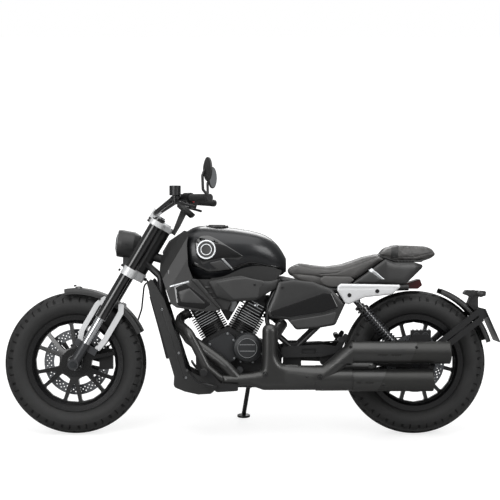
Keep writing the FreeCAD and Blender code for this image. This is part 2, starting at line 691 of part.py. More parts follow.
def cylinder_head(way):
    base = barrel_foot + barrel_height
    half_x = fin_half - 8
    half_y = fin_width / 2 - 8
    block = plan_plate([(-half_x + 10, -half_y + 10, 14), (half_x - 10, -half_y + 10, 14),
                        (half_x - 10, half_y - 10, 14), (-half_x + 10, half_y - 10, 14)], base,
                       base + head_height)
    shapes = [block]
    for k in range(4):
        low = base + 3 + k * 14
        shapes.append(plan_plate([(-half_x, -half_y, 18), (half_x, -half_y, 18), (half_x, half_y, 18),
                                  (-half_x, half_y, 18)], low, low + fin_thickness))
    lid = plan_plate([(-half_x + 16, -half_y + 6, 24), (half_x - 16, -half_y + 6, 24),
                      (half_x - 16, half_y - 6, 24),
                      (-half_x + 16, half_y - 6, 24)], base + head_height, base + head_height + rocker_height)
    lid_top = base + head_height + rocker_height
    lid = lid.makeFillet(10, [edge for edge in lid.Edges if edge.BoundBox.ZMin > lid_top - 1])
    port = rod(vec(way * (half_x - 4), port_y, port_along), vec(way * port_face, port_y, port_along), 26)
    return shapes + [lid, port]


port_along = 255.0
port_face = fin_half + 6
port_y = -20.0
for name, way in (("front", -1), ("rear", 1)):
    shape = joined(barrel(way) + cylinder_head(way))
    shape.rotate(vec(0, 0, 0), Y, way * vee_half_angle)
    shape.translate(vec(crank_x, 0, crank_z))
    valley = Part.makeBox(200, 400, 400, vec(crank_x - (1 if way == 1 else 199), -200, crank_z))
    valley.translate(vec(-198 if way == 1 else 198, 0, 0))
    put("cylinder_" + name, shape.cut(valley))

clutch_centre = vec(778, 0, 396)
covers = []
generator = side_plate([(600, 420, 20), (690, 470, 20), (722, 440, 20), (728, 340, 20), (650, 322, 20),
                        (608, 350, 20)], -case_half - 58, -case_half - gap)
clutch = turned(clutch_centre - Y * (case_half + gap), vec(0, -1, 0), Z,
                [(0, 0, 0), (0, 66, 0), (70, 66, 4), (84, 60, 6), (90, 44, 3), (90, 0, 0)])
covers.append(joined([clutch, generator]))
far_cover = turned(vec(crank_x - 10, case_half + gap, crank_z + 6), Y, Z,
                   [(0, 0, 0), (0, 84, 0), (40, 84, 6), (56, 66, 10), (56, 0, 0)])
covers.append(far_cover)
covers.append(side_plate([(840, 418, 20), (912, 422, 26), (936, 380, 16), (936, 310, 20), (912, 286, 30),
                          (844, 290, 20)], pulley_cover_y, pulley_cover_y + 14))
put("engine_covers", covers)
throttle_z = 642.0
intake = [rod(vec(crank_x, -30, throttle_z), vec(crank_x, 30, throttle_z), 26)]
for way in (-1, 1):
    mouth_x, mouth_z = vee_point(way, port_along, -(fin_half - 8 + gap))
    inner_x, inner_z = vee_point(way, port_along, -(fin_half + 60))
    intake.append(rod(vec(mouth_x, 0, mouth_z), vec(inner_x, 0, inner_z), 16))
put("intake", joined(intake))

# Exhaust: two headers into a collector, and two stacked silencer cans with shields.
front_port = vee_point(-1, port_along, port_face + gap)
front_turn = vee_point(-1, port_along, port_face + 30)
rear_port = vee_point(1, port_along, port_face + gap)
rear_turn = vee_point(1, port_along, port_face + 28)
front_header = bent_tube([(front_port[0], port_y, front_port[1], 0), (front_turn[0], port_y, front_turn[1],
                                                                      26),
                          (474, -124, 500, 34), (522, exhaust_y + 12, 462, 40), (600, exhaust_y, 312, 60),
                          (664, exhaust_y, lower_can_z, 60), (1000, exhaust_y, lower_can_z, 0)],
                         pipe_radius, pipe_radius - 2)
rear_header = bent_tube([(rear_port[0], port_y, rear_port[1], 0), (rear_turn[0], port_y, rear_turn[1], 24),
                         (934, -90, 500, 34), (884, exhaust_y + 8, 452, 36), (878, exhaust_y, 356, 46),
                         (926, exhaust_y, 306, 40), (1000, exhaust_y, 306, 0)], pipe_radius, pipe_radius - 2)
put("headers", [front_header, rear_header])


def stack(x, low, high, radius):
    """Upright slot-shaped wire across the cans' run."""
    y = exhaust_y
    return Part.Wire([
        Part.Arc(vec(x, y - radius, low), vec(x, y, low - radius), vec(x, y + radius, low)).toShape(),
        Part.makeLine(vec(x, y + radius, low), vec(x, y + radius, high)),
        Part.Arc(vec(x, y + radius, high), vec(x, y, high + radius), vec(x, y - radius, high)).toShape(),
        Part.makeLine(vec(x, y - radius, high), vec(x, y - radius, low)),
    ])


collector = Part.makeLoft([stack(1000 + gap, 252, 306, 24), stack(1080, 262, 272, can_radius)], True, True)
joint = Part.Face(stack(1080, 262, 272, can_radius)).extrude(vec(30, 0, 0))
chamber = Part.makeLoft([stack(1110, 262, 272, can_radius), stack(1240, lower_can_z, upper_can_z,
                                                                  can_radius)],
                        True, True)
put("collector", joined([collector, joint, chamber]))
cans = []
for z, end in ((upper_can_z, upper_can_end), (lower_can_z, lower_can_end)):
    start = vec(1240 + gap, exhaust_y, z)
    run = end - start.x
    profile = [(0, 0, 0), (0, can_radius, 0), (run, can_radius, 6), (run + 4, can_radius - 12, 0),
               (run - 30, can_radius - 24, 0), (run - 30, 0, 0), (run - 34, 0, 0),
               (run - 34, can_radius - can_wall, 0),
               (3, can_radius - can_wall, 0), (3, 0, 0)]
    cans.append(turned(start, X, Z, profile))
put("silencers", cans)
shield_inner = can_radius + gap
shield_outer = shield_inner + shield_wall
shields = []
for z, outline, slots in (
    (upper_can_z, [(1128, 334, 0), (1222, 440, 0), (1532, 440, 0), (1492, 334, 0)],
     ((1351, 1395), (1408, 1456))),
    (lower_can_z, [(1243, 212, 0), (1243, 303, 0), (1392, 303, 0), (1350, 212, 0)],
     ((1256, 1282), (1296, 1334))),
):
    hollow = [rod(vec(1240 + gap, exhaust_y, z), vec(1560, exhaust_y, z), shield_outer, shield_inner)]
    if z == upper_can_z:
        skins = [Part.makeLoft([stack(1110, 262, 272, radius), stack(1240 + gap, lower_can_z, upper_can_z,
                                                                     radius)],
                               True, True) for radius in (shield_outer, shield_inner)]
        hollow.append(skins[0].cut(skins[1]))
    shield = joined(hollow).common(side_plate(outline, exhaust_y - can_radius * 2, exhaust_y - 14))
    for slot_start, slot_end in slots:
        shield = shield.cut(side_plate([(slot_start, z - 12, 4), (slot_start, z - 4, 4), (slot_end, z - 4, 4),
                                        (slot_end, z - 12, 4)], exhaust_y - can_radius * 2, exhaust_y))
    shields.append(shield)
put("silencer_shields", shields)

# Tank: one shell lofted along the machine, with a tunnel for the backbone.
tank_stations = [
    (448, 788, 852, 52), (476, 748, 888, 84), (540, 712, 934, 116), (620, 699, 939, 132),
                 (700, 716, 933, tank_half),
    (780, 746, 921, 128), (860, 739, 897, 108), (915, 724, 853, 84), (953, 735, 792, 46),
]


def tank_ring(x, low, high, half):
    tall = high - low
    half_points = [(0.0, high), (0.52 * half, high - 0.05 * tall), (0.86 * half, high - 0.2 * tall),
                   (half, high - 0.5 * tall), (0.93 * half, low + 0.2 * tall),
                   (0.7 * half, low + 0.02 * tall)]
    points = [vec(x, y, z) for y, z in half_points]
    points += [vec(x, -y, z) for y, z in reversed(half_points[1:])]
    curve = Part.BSplineCurve()
    curve.interpolate(points, PeriodicFlag=True)
    return Part.Wire(curve.toShape())


tank = Part.makeLoft([tank_ring(*station) for station in tank_stations], True, False)
tunnel = side_plate([(400, 600, 0), (400, 826, 0), (526, 778.3, 0), (552, 778.3, 0), (846, 731.3, 0),
                     (980, 731.3, 0), (980, 600, 0)], -36, 36)
put("tank", tank.cut(tunnel))

# Shrouds beside the radiator and the tank's nose, kept behind the fork's swing.
plan_outer = [(46, 54), (58, 74), (74, 98), (110, 126), (160, 141), (230, 149), (420, 151)]
plan_points = [(x + fork_offset, -y, 0) for x, y in plan_outer]
plan_points += [(x + fork_offset + 4, -y + panel_wall, 0) for x, y in reversed(plan_outer)]
swept = on_fork(plan_plate(plan_points, 100, 900))
outline = [(495, 919, 10), (424, 862, 30), (388, 790, 50), (385, 740, 30), (408, 676, 40), (437, 592, 20),
           (463, 574, 12), (583, 557, 20), (668, 562, 8), (540, 690, 30), (514, 760, 60), (508, 860, 60),
           (516, 912, 8)]
shroud = swept.common(side_plate(outline, -200, 0))
put("tank_shrouds", both(shroud))
mid_cover = side_plate([(600, 690, 10), (714, 712, 20), (754, 716, 20), (838, 692, 20), (885, 692, 10),
                        (921, 703, 6),
                        (905, 660, 30), (814, 605, 20), (710, 601, 20), (640, 620, 14)],
                       -panel_inner - panel_wall, -panel_inner)
put("mid_covers", both(mid_cover))
side_panel = side_plate([(918, 688, 8), (986, 697, 20), (1071, 688, 20), (1156, 656, 14), (1214, 590, 8),
                         (1170, 496, 20), (1090, 482, 30), (995, 475, 20), (958, 520, 12), (880, 528, 16),
                         (864, 556, 10), (905, 650, 20)], -panel_inner - panel_wall, -panel_inner)
put("side_panels", both(side_panel))

# Seats and tail.
seat_side = [(958, 742, 14), (978, 764, 14), (1000, 771, 40), (1074, 760, 120), (1135, 754, 80),
             (1204, 764, 90),
             (1300, 797, 90), (1368, 812, 8), (1392, 791, 6), (1256, 695, 0), (1150, 697, 20),
             (1000, 712, 20),
             (972, 716, 12)]
seat = side_plate(seat_side, -seat_half, seat_half)
seat_plan = plan_plate([(940, -62, 30), (1040, -84, 80), (1180, -seat_half + 4, 80),
                        (1300, -seat_half + 4, 60),
                        (1400, -104, 20), (1400, 104, 20), (1300, seat_half - 4, 60),
                        (1180, seat_half - 4, 80),
                        (1040, 84, 80), (940, 62, 30)], 600, 900)
rail_inner = rail_half - cradle_radius - 1
seat_pan = side_plate([(1010, 712, 10), (1120, 700, 0), (1240, 700, 0), (1200, 664.4, 10), (1110, 664.4, 10)],
                      -rail_inner, rail_inner)
put("seat_rider", joined([seat.common(seat_plan), seat_pan]))
pillion_side = [(1372, 814, 6), (1406, 842, 20), (1453, 850, 30), (1591, 846, 20), (1628, 816, 10),
                (1612, 797, 10), (1530, 775.4, 20), (1440, 775.4, 20), (1398, 794, 8)]
pillion = side_plate(pillion_side, -110, 110)
pillion_plan = plan_plate([(1360, -96, 20), (1560, -84, 40), (1640, -52, 30), (1640, 52, 30), (1560, 84, 40),
                           (1360, 96, 20)], 700, 900)
put("seat_pillion", pillion.common(pillion_plan))
tail = side_plate([(1244, 677.8, 4), (1260, 694, 0), (1396, 789.6, 4), (1440, 775, 20), (1530, 775, 20),
                   (1576, 762, 10), (1487, 677.8, 10)], -126, 126)
tail_plan = plan_plate([(1200, -126, 10), (1400, -124, 40), (1540, -96, 40), (1600, -60, 20), (1600, 60, 20),
                        (1540, 96, 40), (1400, 124, 40), (1200, 126, 10)], 600, 900)
put("tail_cover", tail.common(tail_plan))
bright = side_plate([(1178, 650, 8), (1180, 671, 6), (1195, 681, 6), (1472, 676, 8), (1421, 633, 14),
                     (1301, 620, 14),
                     (1259, 603, 8), (1229, 588, 6), (1214, 594, 6)], -bright_inner - 12, -bright_inner)
put("frame_plates", both(bright))
tail_lamp = side_plate([(1484, 678, 2), (1486, 678, 0), (1556, 700, 4), (1566, 672, 6), (1546, 656, 6),
                        (1490, 656, 6)], -60, 60)
put("tail_lamp", tail_lamp.cut(tail))

# Swingarm, axle, shock absorbers and rear brake.
arm_inner = 107.0
arm_wall = 16.0
swing_parts = [rod(vec(pivot_x, -rail_half + 6.3, pivot_z), vec(pivot_x, rail_half - 6.3, pivot_z), 24),
               rod(vec(1126, -arm_inner - arm_wall, 348), vec(1126, arm_inner + arm_wall, 348), 27)]
for sign in (-1, 1):
    swing_parts.append(side_plate([(pivot_x - 10, 374, 4), (1130, 366, 4), (1130, 330, 4),
                                   (pivot_x - 10, 336, 4)],
                                  sign * 72 - 10, sign * 72 + 10))
    swing_parts.append(side_plate([(1102, 380, 16), (1400, 366, 60), (rear_axle_x + 34, rear_axle_z + 26, 16),
                                   (rear_axle_x + 34, rear_axle_z - 26, 16), (1400, 312, 60),
                                   (1102, 318, 16)],
                                  sign * (arm_inner + arm_wall / 2) - arm_wall / 2,
                                  sign * (arm_inner + arm_wall / 2) + arm_wall / 2))
    swing_parts.append(rod(vec(1470, sign * arm_inner, 370), vec(1470, sign * (arm_inner + arm_wall + 3),
                                                                 370), 15))
bobbin_far = vec(bobbin_x, arm_inner + arm_wall, bobbin_z)
swingarm = joined(swing_parts).cut([
    rod(bobbin_far + Y, bobbin_far - Y * bobbin_hole_depth, bobbin_hole_radius),
    rod(vec(pivot_x, -200, pivot_z), vec(pivot_x, 200, pivot_z), pivot_radius + running_fit),
    rod(vec(rear_axle_x, -200, rear_axle_z), vec(rear_axle_x, 200, rear_axle_z),
        rear_axle_radius + running_fit),
])
put("swingarm", swingarm)
axle_out = arm_inner + arm_wall + gap
rear_axle = [rod(rear_centre - Y * (axle_out + 12), rear_centre + Y * (axle_out + 12), rear_axle_radius)]
for sign in (-1, 1):
    rear_axle.append(rod(rear_centre + Y * sign * axle_out, rear_centre + Y * sign * (axle_out + 12), 20))
    rear_axle.append(rod(rear_centre + Y * sign * (rear_hub_half + 2 * gap),
                         rear_centre + Y * sign * (arm_inner - gap), 18))
put("rear_axle", joined(rear_axle))
shock_y = -rail_half - 23.5
shock_top = vec(1266, shock_y, 604)
shock_low = vec(1470, shock_y, 370)
shock_run = (shock_low - shock_top).normalize()
shock_length = (shock_low - shock_top).Length
shock_side = vec(-shock_run.z, 0, shock_run.x)
shock_body = turned(shock_top, shock_run, shock_side, [
    (0, 0, 0), (0, 9.5, 0), (42, 9.5, 0), (42, 24, 3), (52, 24, 3), (52, 21, 0), (shock_length - 60, 21, 0),
    (shock_length - 60, 24, 3), (shock_length - 46, 24, 3), (shock_length - 46, 9.5, 0),
                                                       (shock_length, 9.5, 0),
    (shock_length, 0, 0)])
shock = joined([shock_body, rod(shock_top + Y * 9, shock_top - Y * 9, 16),
                rod(shock_low + Y * 9, shock_low - Y * 9, 17)])
put("shock_absorbers", both(shock))

rear_caliper_x, rear_caliper_z = polar(rear_axle_x, rear_axle_z, rear_disc_radius - 12, 78)
rear_disc_in = rear_hub_half + gap
rear_caliper = Part.makeBox(90, 34, 52, vec(rear_caliper_x - 45, -rear_disc_in - 22, rear_caliper_z - 20))
rear_slot = rod(vec(rear_axle_x, -rear_disc_in + 2.5, rear_axle_z),
                vec(rear_axle_x, -rear_disc_in - disc_thickness - 2.5, rear_axle_z), rear_disc_radius + 5)
rear_caliper = rear_caliper.cut(rear_slot)
caliper_plate = side_plate([(1462, 332, 6), (1504, 336, 6), (1592, 424, 6), (1592, 452, 6), (1520, 452, 6)],
                           -arm_inner + gap, -rear_disc_in - 14)
rear_caliper = joined([rear_caliper, caliper_plate])
put("rear_caliper", rear_caliper)

# Belt drive on the far side.
front_pulley = vec(front_pulley_x, 0, pivot_z)


def belt_loop(radius_front, radius_rear):
    reach = rear_centre - front_pulley
    swing = math.degrees(math.asin((radius_rear - radius_front) / reach.Length))
    slope = math.degrees(math.atan2(reach.z, reach.x))
    high = 90 + slope + swing
    low = -90 + slope - swing
    points = []
    for centre, radius, angle in ((front_pulley, radius_front, high), (front_pulley, radius_front,
                                                                       180 + slope),
                                  (front_pulley, radius_front, low), (rear_centre, radius_rear, low),
                                  (rear_centre, radius_rear, slope), (rear_centre, radius_rear, high)):
        x, z = polar(centre.x, centre.z, radius, angle)
        points.append(vec(x, belt_y, z))
    return Part.Face(Part.Wire([
        Part.Arc(points[0], points[1], points[2]).toShape(), Part.makeLine(points[2], points[3]),
        Part.Arc(points[3], points[4], points[5]).toShape(), Part.makeLine(points[5], points[0])]))


belt_inner = belt_loop(front_pulley_radius + gap, pulley_radius + gap)
belt_outer = belt_loop(front_pulley_radius + gap + belt_thickness, pulley_radius + gap + belt_thickness)
belt = belt_outer.cut(belt_inner).extrude(vec(0, belt_width, 0))
put("belt", belt)

# Rear mudguard, its carrier arms, lamp holder, indicators and the plate.
rear_radial_turn = math.radians(70)
rear_radial = vec(math.cos(rear_radial_turn), 0, math.sin(rear_radial_turn))
hugger = guard(rear_centre, rear_radial, 354, 88, 4, 22, 54)
put("rear_mudguard", hugger)
carrier_y = arm_inner + arm_wall + 2 * gap
carrier = []
for low_start, low_end in (((1552, 350), (1816, 560)), ((1560, 322), (1828, 526))):
    x0, z0 = low_start
    x1, z1 = low_end
    carrier.append(side_plate([(x0 - 8, z0 + 10, 5), (x1 - 8, z1 + 10, 5), (x1 + 8, z1 - 10, 5),
                               (x0 + 8, z0 - 10, 5)],
                              -carrier_y - 8, -carrier_y))
carrier_root = side_plate([(1530, 366, 16), (1590, 366, 16), (1590, 296, 16), (1530, 296, 16)],
                          -carrier_y - 8,
                          -carrier_y)
carrier.append(carrier_root.cut(rod(rear_centre - Y * 200, rear_centre, 21)))
carrier.append(side_plate([(1800, 578, 8), (1832, 562, 8), (1838, 520, 8), (1812, 530, 8)], -carrier_y - 8,
                          -96))
arm_half = joined(carrier)
over_guard = rod(rear_centre - Y * 300, rear_centre + Y * 300, 354 + gap)
cross = side_plate([(1770, 590, 0), (1841.6, 565.8, 0), (1856.2, 532.9, 0), (1800, 500, 0)], -100,
                   100).cut(over_guard)
put("plate_carrier", joined([arm_half, mirrored(arm_half), cross]))
plate = side_plate([(1842, 566, 1), (1845.5, 567.5, 1), (1912, 418, 1), (1908.5, 416.5, 1)], -105, 105)
plate_back = vec(-0.9138, 0, -0.4065)
plate_down = vec(0.4065, 0, -0.9138)
plate_middle = vec(1845.5, 0, 567.5) + plate_down * 110 + plate_back * 1.9
for y in (-plate_hole_spacing / 2, plate_hole_spacing / 2):
    hole = plate_middle + Y * y
    plate = plate.cut(rod(hole - plate_back * 10, hole + plate_back * 10, plate_hole_radius))
put("number_plate", plate)
holder = side_plate([(1775, 588.7, 0), (1822, 572.8, 0), (1822, 620, 6), (1856, 622, 8), (1858, 645, 6),
                     (1770, 650, 8), (1754, 632, 6), (1788, 620, 6)], -34, 34)
lamps = [holder]
for side in (-1, 1):
    lamps.append(rod(vec(1820, side * 30, 634), vec(1820, side * 90, 634), 6))
    lamps.append(turned(vec(1820, side * 84, 634), Y * side, Z, [(0, 0, 0), (0, 12, 3), (52, 14, 6),
                                                                 (56, 0, 0)]))
put("rear_indicators", joined(lamps))

# Footrests, pedals, hanger and passenger footrests.
peg = vec(588, -238, 297)
control_root = -cradle_half - cradle_radius - gap
control = joined([
    rod(vec(656, control_root, cradle_low), vec(656, -246, cradle_low), 8),
    rod(vec(728, control_root, cradle_low), vec(728, -246, cradle_low), 8),
    side_plate([(572, 306, 12), (604, 310, 14), (660, 246, 20), (738, 240, 8), (738, 212, 8), (640, 206, 20)],
               -252, -241),
    rod(peg, peg - Y * 106, 13),
])
pedal = joined([
    rod(vec(636, -246, 232), vec(636, -270, 232), 9),
    bent_tube([(636, -263, 232, 0), (560, -263, 250, 40), (520, -268, 300, 30), (516, -310, 306, 0)], 6),
])
put("footrests", both(joined([control, pedal])))
hanger = side_plate([(930, 400, 16), (985, 404, 20), (1113, 410, 20), (1172, 402, 14), (1212, 462, 8),
                     (1228, 452, 8),
                     (1190, 376, 20), (1108, 356, 20), (930, 352, 16)], -rail_half - 42, -rail_half - 32)
slot = side_plate([(1020, 392, 6), (1084, 392, 6), (1084, 370, 6), (1020, 370, 6)], -200, -100)
hanger_half = joined([hanger.cut(slot), rod(vec(955, -rail_half - 6.3, 378), vec(955, -rail_half - 42, 378),
                                            12),
                      rod(vec(pivot_x, -rail_half - 14.3, 378), vec(pivot_x, -rail_half - 42, 378), 10),
                      rod(vec(1190, -rail_half - 32, 432), vec(1190, -rail_half - 128, 436), 12)])
put("passenger_footrests", both(hanger_half))

# Side stand on the far side, standing on the leaned floor.
floor_lift = front_crown * lean_rise


def floor_at(x, y):
    return front_floor * (1 - x / rear_axle_x) + y * tan_lean - floor_lift


floor_normal = vec(0, -math.sin(math.radians(lean)), math.cos(math.radians(lean)))
sole_base = vec(stand_foot_x, stand_foot_y, floor_at(stand_foot_x, stand_foot_y))
sole = turned(sole_base, floor_normal, X, [(0, 0, 0), (0, 30, 2), (9, 30, 3), (14, 14, 3), (14, 0, 0)])
stand = joined([rod(stand_pivot - stand_axis * 8, stand_pivot - stand_axis * 22, 18),
                rod(stand_pivot - stand_axis * 18, sole_base + floor_normal * 10, 10), sole])
stand_bore = rod(stand_pivot + stand_axis * 30, stand_pivot - stand_axis * 40, stand_pin_radius + running_fit)
put("side_stand", stand.cut(stand_bore))

anchors = {
    "front_wheel": (front_centre, Y),
    "rear_wheel": (rear_centre, Y),
    "steering": (head, up_head),
    "side_stand": (stand_pivot, stand_axis),
    "bobbin_far": (bobbin_far, Y),
    "plate_holes": (plate_middle, -plate_back),
}


# Both tyres onto the floor, lean onto the stand, and the box's middle over the origin.
pitch = math.degrees(math.atan2(front_floor, rear_axle_x))
lift = vec(0, 0, front_crown * (1 - math.cos(math.radians(lean))))


def settle(shape):
    moved = shape.copy()
    moved.translate(vec(0, 0, -front_floor))
    moved.rotate(vec(axle_x, 0, 0), Y, -pitch)
    moved.rotate(vec(0, 0, 0), X, -lean)
    moved.translate(lift)
    return moved


os.makedirs("parts", exist_ok=True)
leaned = {}
for name, shapes in nodes.items():
    leaned[name] = [settle(solid) for shape in shapes for solid in shape.Solids]
box = FreeCAD.BoundBox()
for solids in leaned.values():
    for solid in solids:
        box.add(solid.optimalBoundingBox(False, False))
centring = vec(-(box.XMin + box.XMax) / 2, -(box.YMin + box.YMax) / 2, 0)
for name, solids in leaned.items():
    for solid in solids:
        solid.translate(centring)
    Part.makeCompound(solids).exportStep("parts/" + name + ".step")
for name, (spot, heading) in anchors.items():
    start = settle(Part.Vertex(spot)).Point
    end = settle(Part.Vertex(spot + heading)).Point
    print("anchor", name, [round(value / 1000, 6) for value in start + centring],
          [round(value, 6) for value in end - start])
print("box", box)
for name, solids in leaned.items():
    valid = all(solid.isValid() for solid in solids)
    print(name, len(solids), round(sum(solid.Volume for solid in solids) / 1000), valid)
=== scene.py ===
import json
import math

import bmesh
import bpy
import numpy as np
from mathutils import Matrix, Vector, geometry
from mathutils.bvhtree import BVHTree


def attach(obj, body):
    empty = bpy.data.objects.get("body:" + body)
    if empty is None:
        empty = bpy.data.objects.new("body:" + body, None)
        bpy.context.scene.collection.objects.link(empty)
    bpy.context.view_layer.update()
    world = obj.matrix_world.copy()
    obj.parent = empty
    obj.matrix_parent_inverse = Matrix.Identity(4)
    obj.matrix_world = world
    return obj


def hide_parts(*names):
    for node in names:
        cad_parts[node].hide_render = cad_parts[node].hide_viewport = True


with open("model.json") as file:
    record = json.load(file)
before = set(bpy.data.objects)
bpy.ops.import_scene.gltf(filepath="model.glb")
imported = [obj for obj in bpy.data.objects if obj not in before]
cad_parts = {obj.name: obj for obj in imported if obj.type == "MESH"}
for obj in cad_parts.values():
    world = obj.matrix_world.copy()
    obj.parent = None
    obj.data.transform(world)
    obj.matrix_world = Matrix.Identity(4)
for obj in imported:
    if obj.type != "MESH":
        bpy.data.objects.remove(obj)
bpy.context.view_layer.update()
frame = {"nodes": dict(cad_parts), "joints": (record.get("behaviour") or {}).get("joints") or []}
nodes = frame["nodes"]
joints = {joint["name"]: joint for joint in frame["joints"]}

# The machine stands leaned on its side stand. Its pieces are drawn upright, in millimetres, with the
# front axle over X 0, X rearward and Z up, and stance carries them to their leaned place in metres.
lean = math.radians(9.0)
axle_height = 320.0
lean_turn = Matrix.Rotation(-lean, 4, "X")
stance = (
    Matrix.Translation(joints["front_wheel_spin"]["pos_m"])
    @ lean_turn
    @ Matrix.Scale(0.001, 4)
    @ Matrix.Translation((0, 0, -axle_height))
)

# The camera looks straight at the machine's side from 7.5 m away, level with the tank's foot. It leans with
# the machine, so that the machine stands upright in the picture.
camera = bpy.data.objects.new("camera", bpy.data.cameras.new("camera"))
camera.data.lens = 118.9
camera.data.sensor_width = 36.0
camera.matrix_world = (
    Matrix.Translation(stance @ Vector((790, -7500, 831)))
    @ lean_turn
    @ Matrix.Rotation(math.radians(90), 4, "X")
)
bpy.context.scene.collection.objects.link(camera)
bpy.context.scene.camera = camera


# The studio is a white paper sweep under broad soft boxes. The paper glows more with distance, so it clears
# to white behind the machine and keeps the soft shadow under the tyres. What the machine mirrors is a sky
# that darkens towards the ground.
def linear(text):
    """Linear colour of an sRGB hex value."""
    parts = [int(text[i:i + 2], 16) / 255 for i in (1, 3, 5)]
    return [part / 12.92 if part <= 0.04045 else ((part + 0.055) / 1.055) ** 2.4 for part in parts] + [1.0]


def add(finish, kind, values=None, **settings):
    """New node in a finish: settings by name, and a value or another node's output on each input."""
    node = finish.node_tree.nodes.new("ShaderNode" + kind)
    for key, value in settings.items():
        setattr(node, key, value)
    for key, value in (values or {}).items():
        if isinstance(value, bpy.types.NodeSocket):
            finish.node_tree.links.new(value, node.inputs[key])
        else:
            node.inputs[key].default_value = value
    return node


def seen_rays(finish):
    """One for rays that come straight from the camera or through a pane, and zero for all others."""
    rays = add(finish, "LightPath")
    return add(finish, "Math", {0: rays.outputs["Is Camera Ray"], 1: rays.outputs["Is Transmission Ray"]},
               operation="MAXIMUM").outputs[0]


paper = bpy.data.materials.new("white_paper_sweep")
paper.use_nodes = True
paper.node_tree.nodes.clear()
away = add(paper, "VectorMath", {"Vector": add(paper, "TexCoord").outputs["Object"]}, operation="LENGTH")
glow_near = add(paper, "MapRange", {"Value": away.outputs["Value"], "From Min": 1.2, "From Max": 3.4,
                                    "To Min": 0.74, "To Max": 1.0})
glow_level = add(paper, "Math", {0: seen_rays(paper), 1: glow_near.outputs[0]}, operation="MULTIPLY")
matt = add(paper, "BsdfDiffuse", {"Color": linear("#a8a8a8")})
glow = add(paper, "Emission", {"Color": linear("#ffffff"), "Strength": glow_level.outputs[0]})
lit = add(paper, "AddShader", {0: matt.outputs[0], 1: glow.outputs[0]})
add(paper, "OutputMaterial", {"Surface": lit.outputs[0]})
bm = bmesh.new()
bmesh.ops.create_grid(bm, x_segments=1, y_segments=1, size=60.0)
floor_mesh = bpy.data.meshes.new("floor")
bm.to_mesh(floor_mesh)
bm.free()
floor_mesh.materials.append(paper)
floor = bpy.data.objects.new("floor", floor_mesh)
bpy.context.scene.collection.objects.link(floor)

world = bpy.data.worlds.new("studio")
world.use_nodes = True
world.node_tree.nodes.clear()
bpy.context.scene.world = world
height = add(world, "SeparateXYZ", {"Vector": add(world, "TexCoord").outputs["Generated"]})
soft_level = add(world, "MapRange", {"Value": height.outputs["Z"], "From Min": -0.1, "From Max": 0.9,
                                     "To Min": 0.12, "To Max": 0.55})
level = add(world, "Math", {0: seen_rays(world), 1: soft_level.outputs[0]}, operation="MAXIMUM")
sky = add(world, "Background", {"Color": linear("#ffffff"), "Strength": level.outputs[0]})
add(world, "OutputWorld", {"Surface": sky.outputs[0]})
for name, spot, size, power in (
    ("top_box", (0.0, -0.9, 3.6), 4.0, 90.0),
    ("front_box", (-2.4, -3.6, 2.2), 2.0, 70.0),
    ("rear_box", (3.0, -3.2, 2.6), 1.8, 60.0),
    ("far_box", (0.4, 3.6, 2.6), 2.2, 60.0),
):
    lamp = bpy.data.objects.new(name, bpy.data.lights.new(name, "AREA"))
    lamp.data.shape = "SQUARE"
    lamp.data.size = size
    lamp.data.energy = power
    lamp.location = spot
    lamp.rotation_euler = (Vector((0, 0, 0.5)) - Vector(spot)).to_track_quat("-Z", "Y").to_euler()
    bpy.context.scene.collection.objects.link(lamp)
bpy.context.scene.view_settings.view_transform = "Standard"


# The frame, swingarm and brackets are welded steel tube and plate, bolted together round the engine. Satin
# black powder coat covers them, and its fine orange peel blurs the edges of what they mirror.
def new_finish(name, colour, metallic=0.0, roughness=0.5, **sockets):
    """Plain finish; other sockets are named with underscores for spaces."""
    made = bpy.data.materials.new(name)
    made.use_nodes = True
    shader = made.node_tree.nodes["Principled BSDF"]
    values = {"Base_Color": linear(colour), "Metallic": metallic, "Roughness": roughness, **sockets}
    for key, value in values.items():
        shader.inputs[key.replace("_", " ")].default_value = value
    return made


def feed(finish, **outputs):
    """Links node outputs to the sockets of a finish's shader, named with underscores for spaces."""
    shader = finish.node_tree.nodes["Principled BSDF"]
    for key, output in outputs.items():
        finish.node_tree.links.new(output, shader.inputs[key.replace("_", " ")])


# A Mix node keeps its colours on these inputs and this output.
first_colour, second_colour, mixed = 6, 7, 2


def mottled(name, dark, pale, metallic, smooth, rough, patch, grain, relief, **sockets):
    """Finish whose tone drifts over patches and whose grain shows in gloss and relief; sizes in mm."""
    made = new_finish(name, dark, metallic, smooth, **sockets)
    place = add(made, "TexCoord").outputs["Object"]
    drift = add(made, "TexNoise", {"Vector": place, "Scale": 1000 / patch, "Detail": 4.0})
    fine = add(made, "TexNoise", {"Vector": place, "Scale": 1000 / grain, "Detail": 3.0})
    tone = add(made, "Mix", {0: drift.outputs[0], first_colour: linear(dark), second_colour: linear(pale)},
               data_type="RGBA")
    gloss = add(made, "MapRange", {"Value": fine.outputs[0], "From Min": 0.3, "From Max": 0.7,
                                   "To Min": smooth, "To Max": rough})
    bump = add(made, "Bump", {"Height": fine.outputs[0], "Distance": relief / 1000})
    feed(made, Base_Color=tone.outputs[mixed], Roughness=gloss.outputs[0], Normal=bump.outputs[0])
    return made


def dress(finish, *names):
    """Gives CAD nodes a finish."""
    for name in names:
        nodes[name].data.materials.clear()
        nodes[name].data.materials.append(finish)


powder_coat = mottled("satin_black_powder_coat", "#101011", "#19191a", 0.0, 0.34, 0.46, 60, 1.6, 0.05)
dress(powder_coat, "frame", "frame_cradle", "swingarm", "plate_carrier", "passenger_footrests", "footrests",
      "side_stand", "rear_caliper", "front_caliper", "switchgear")

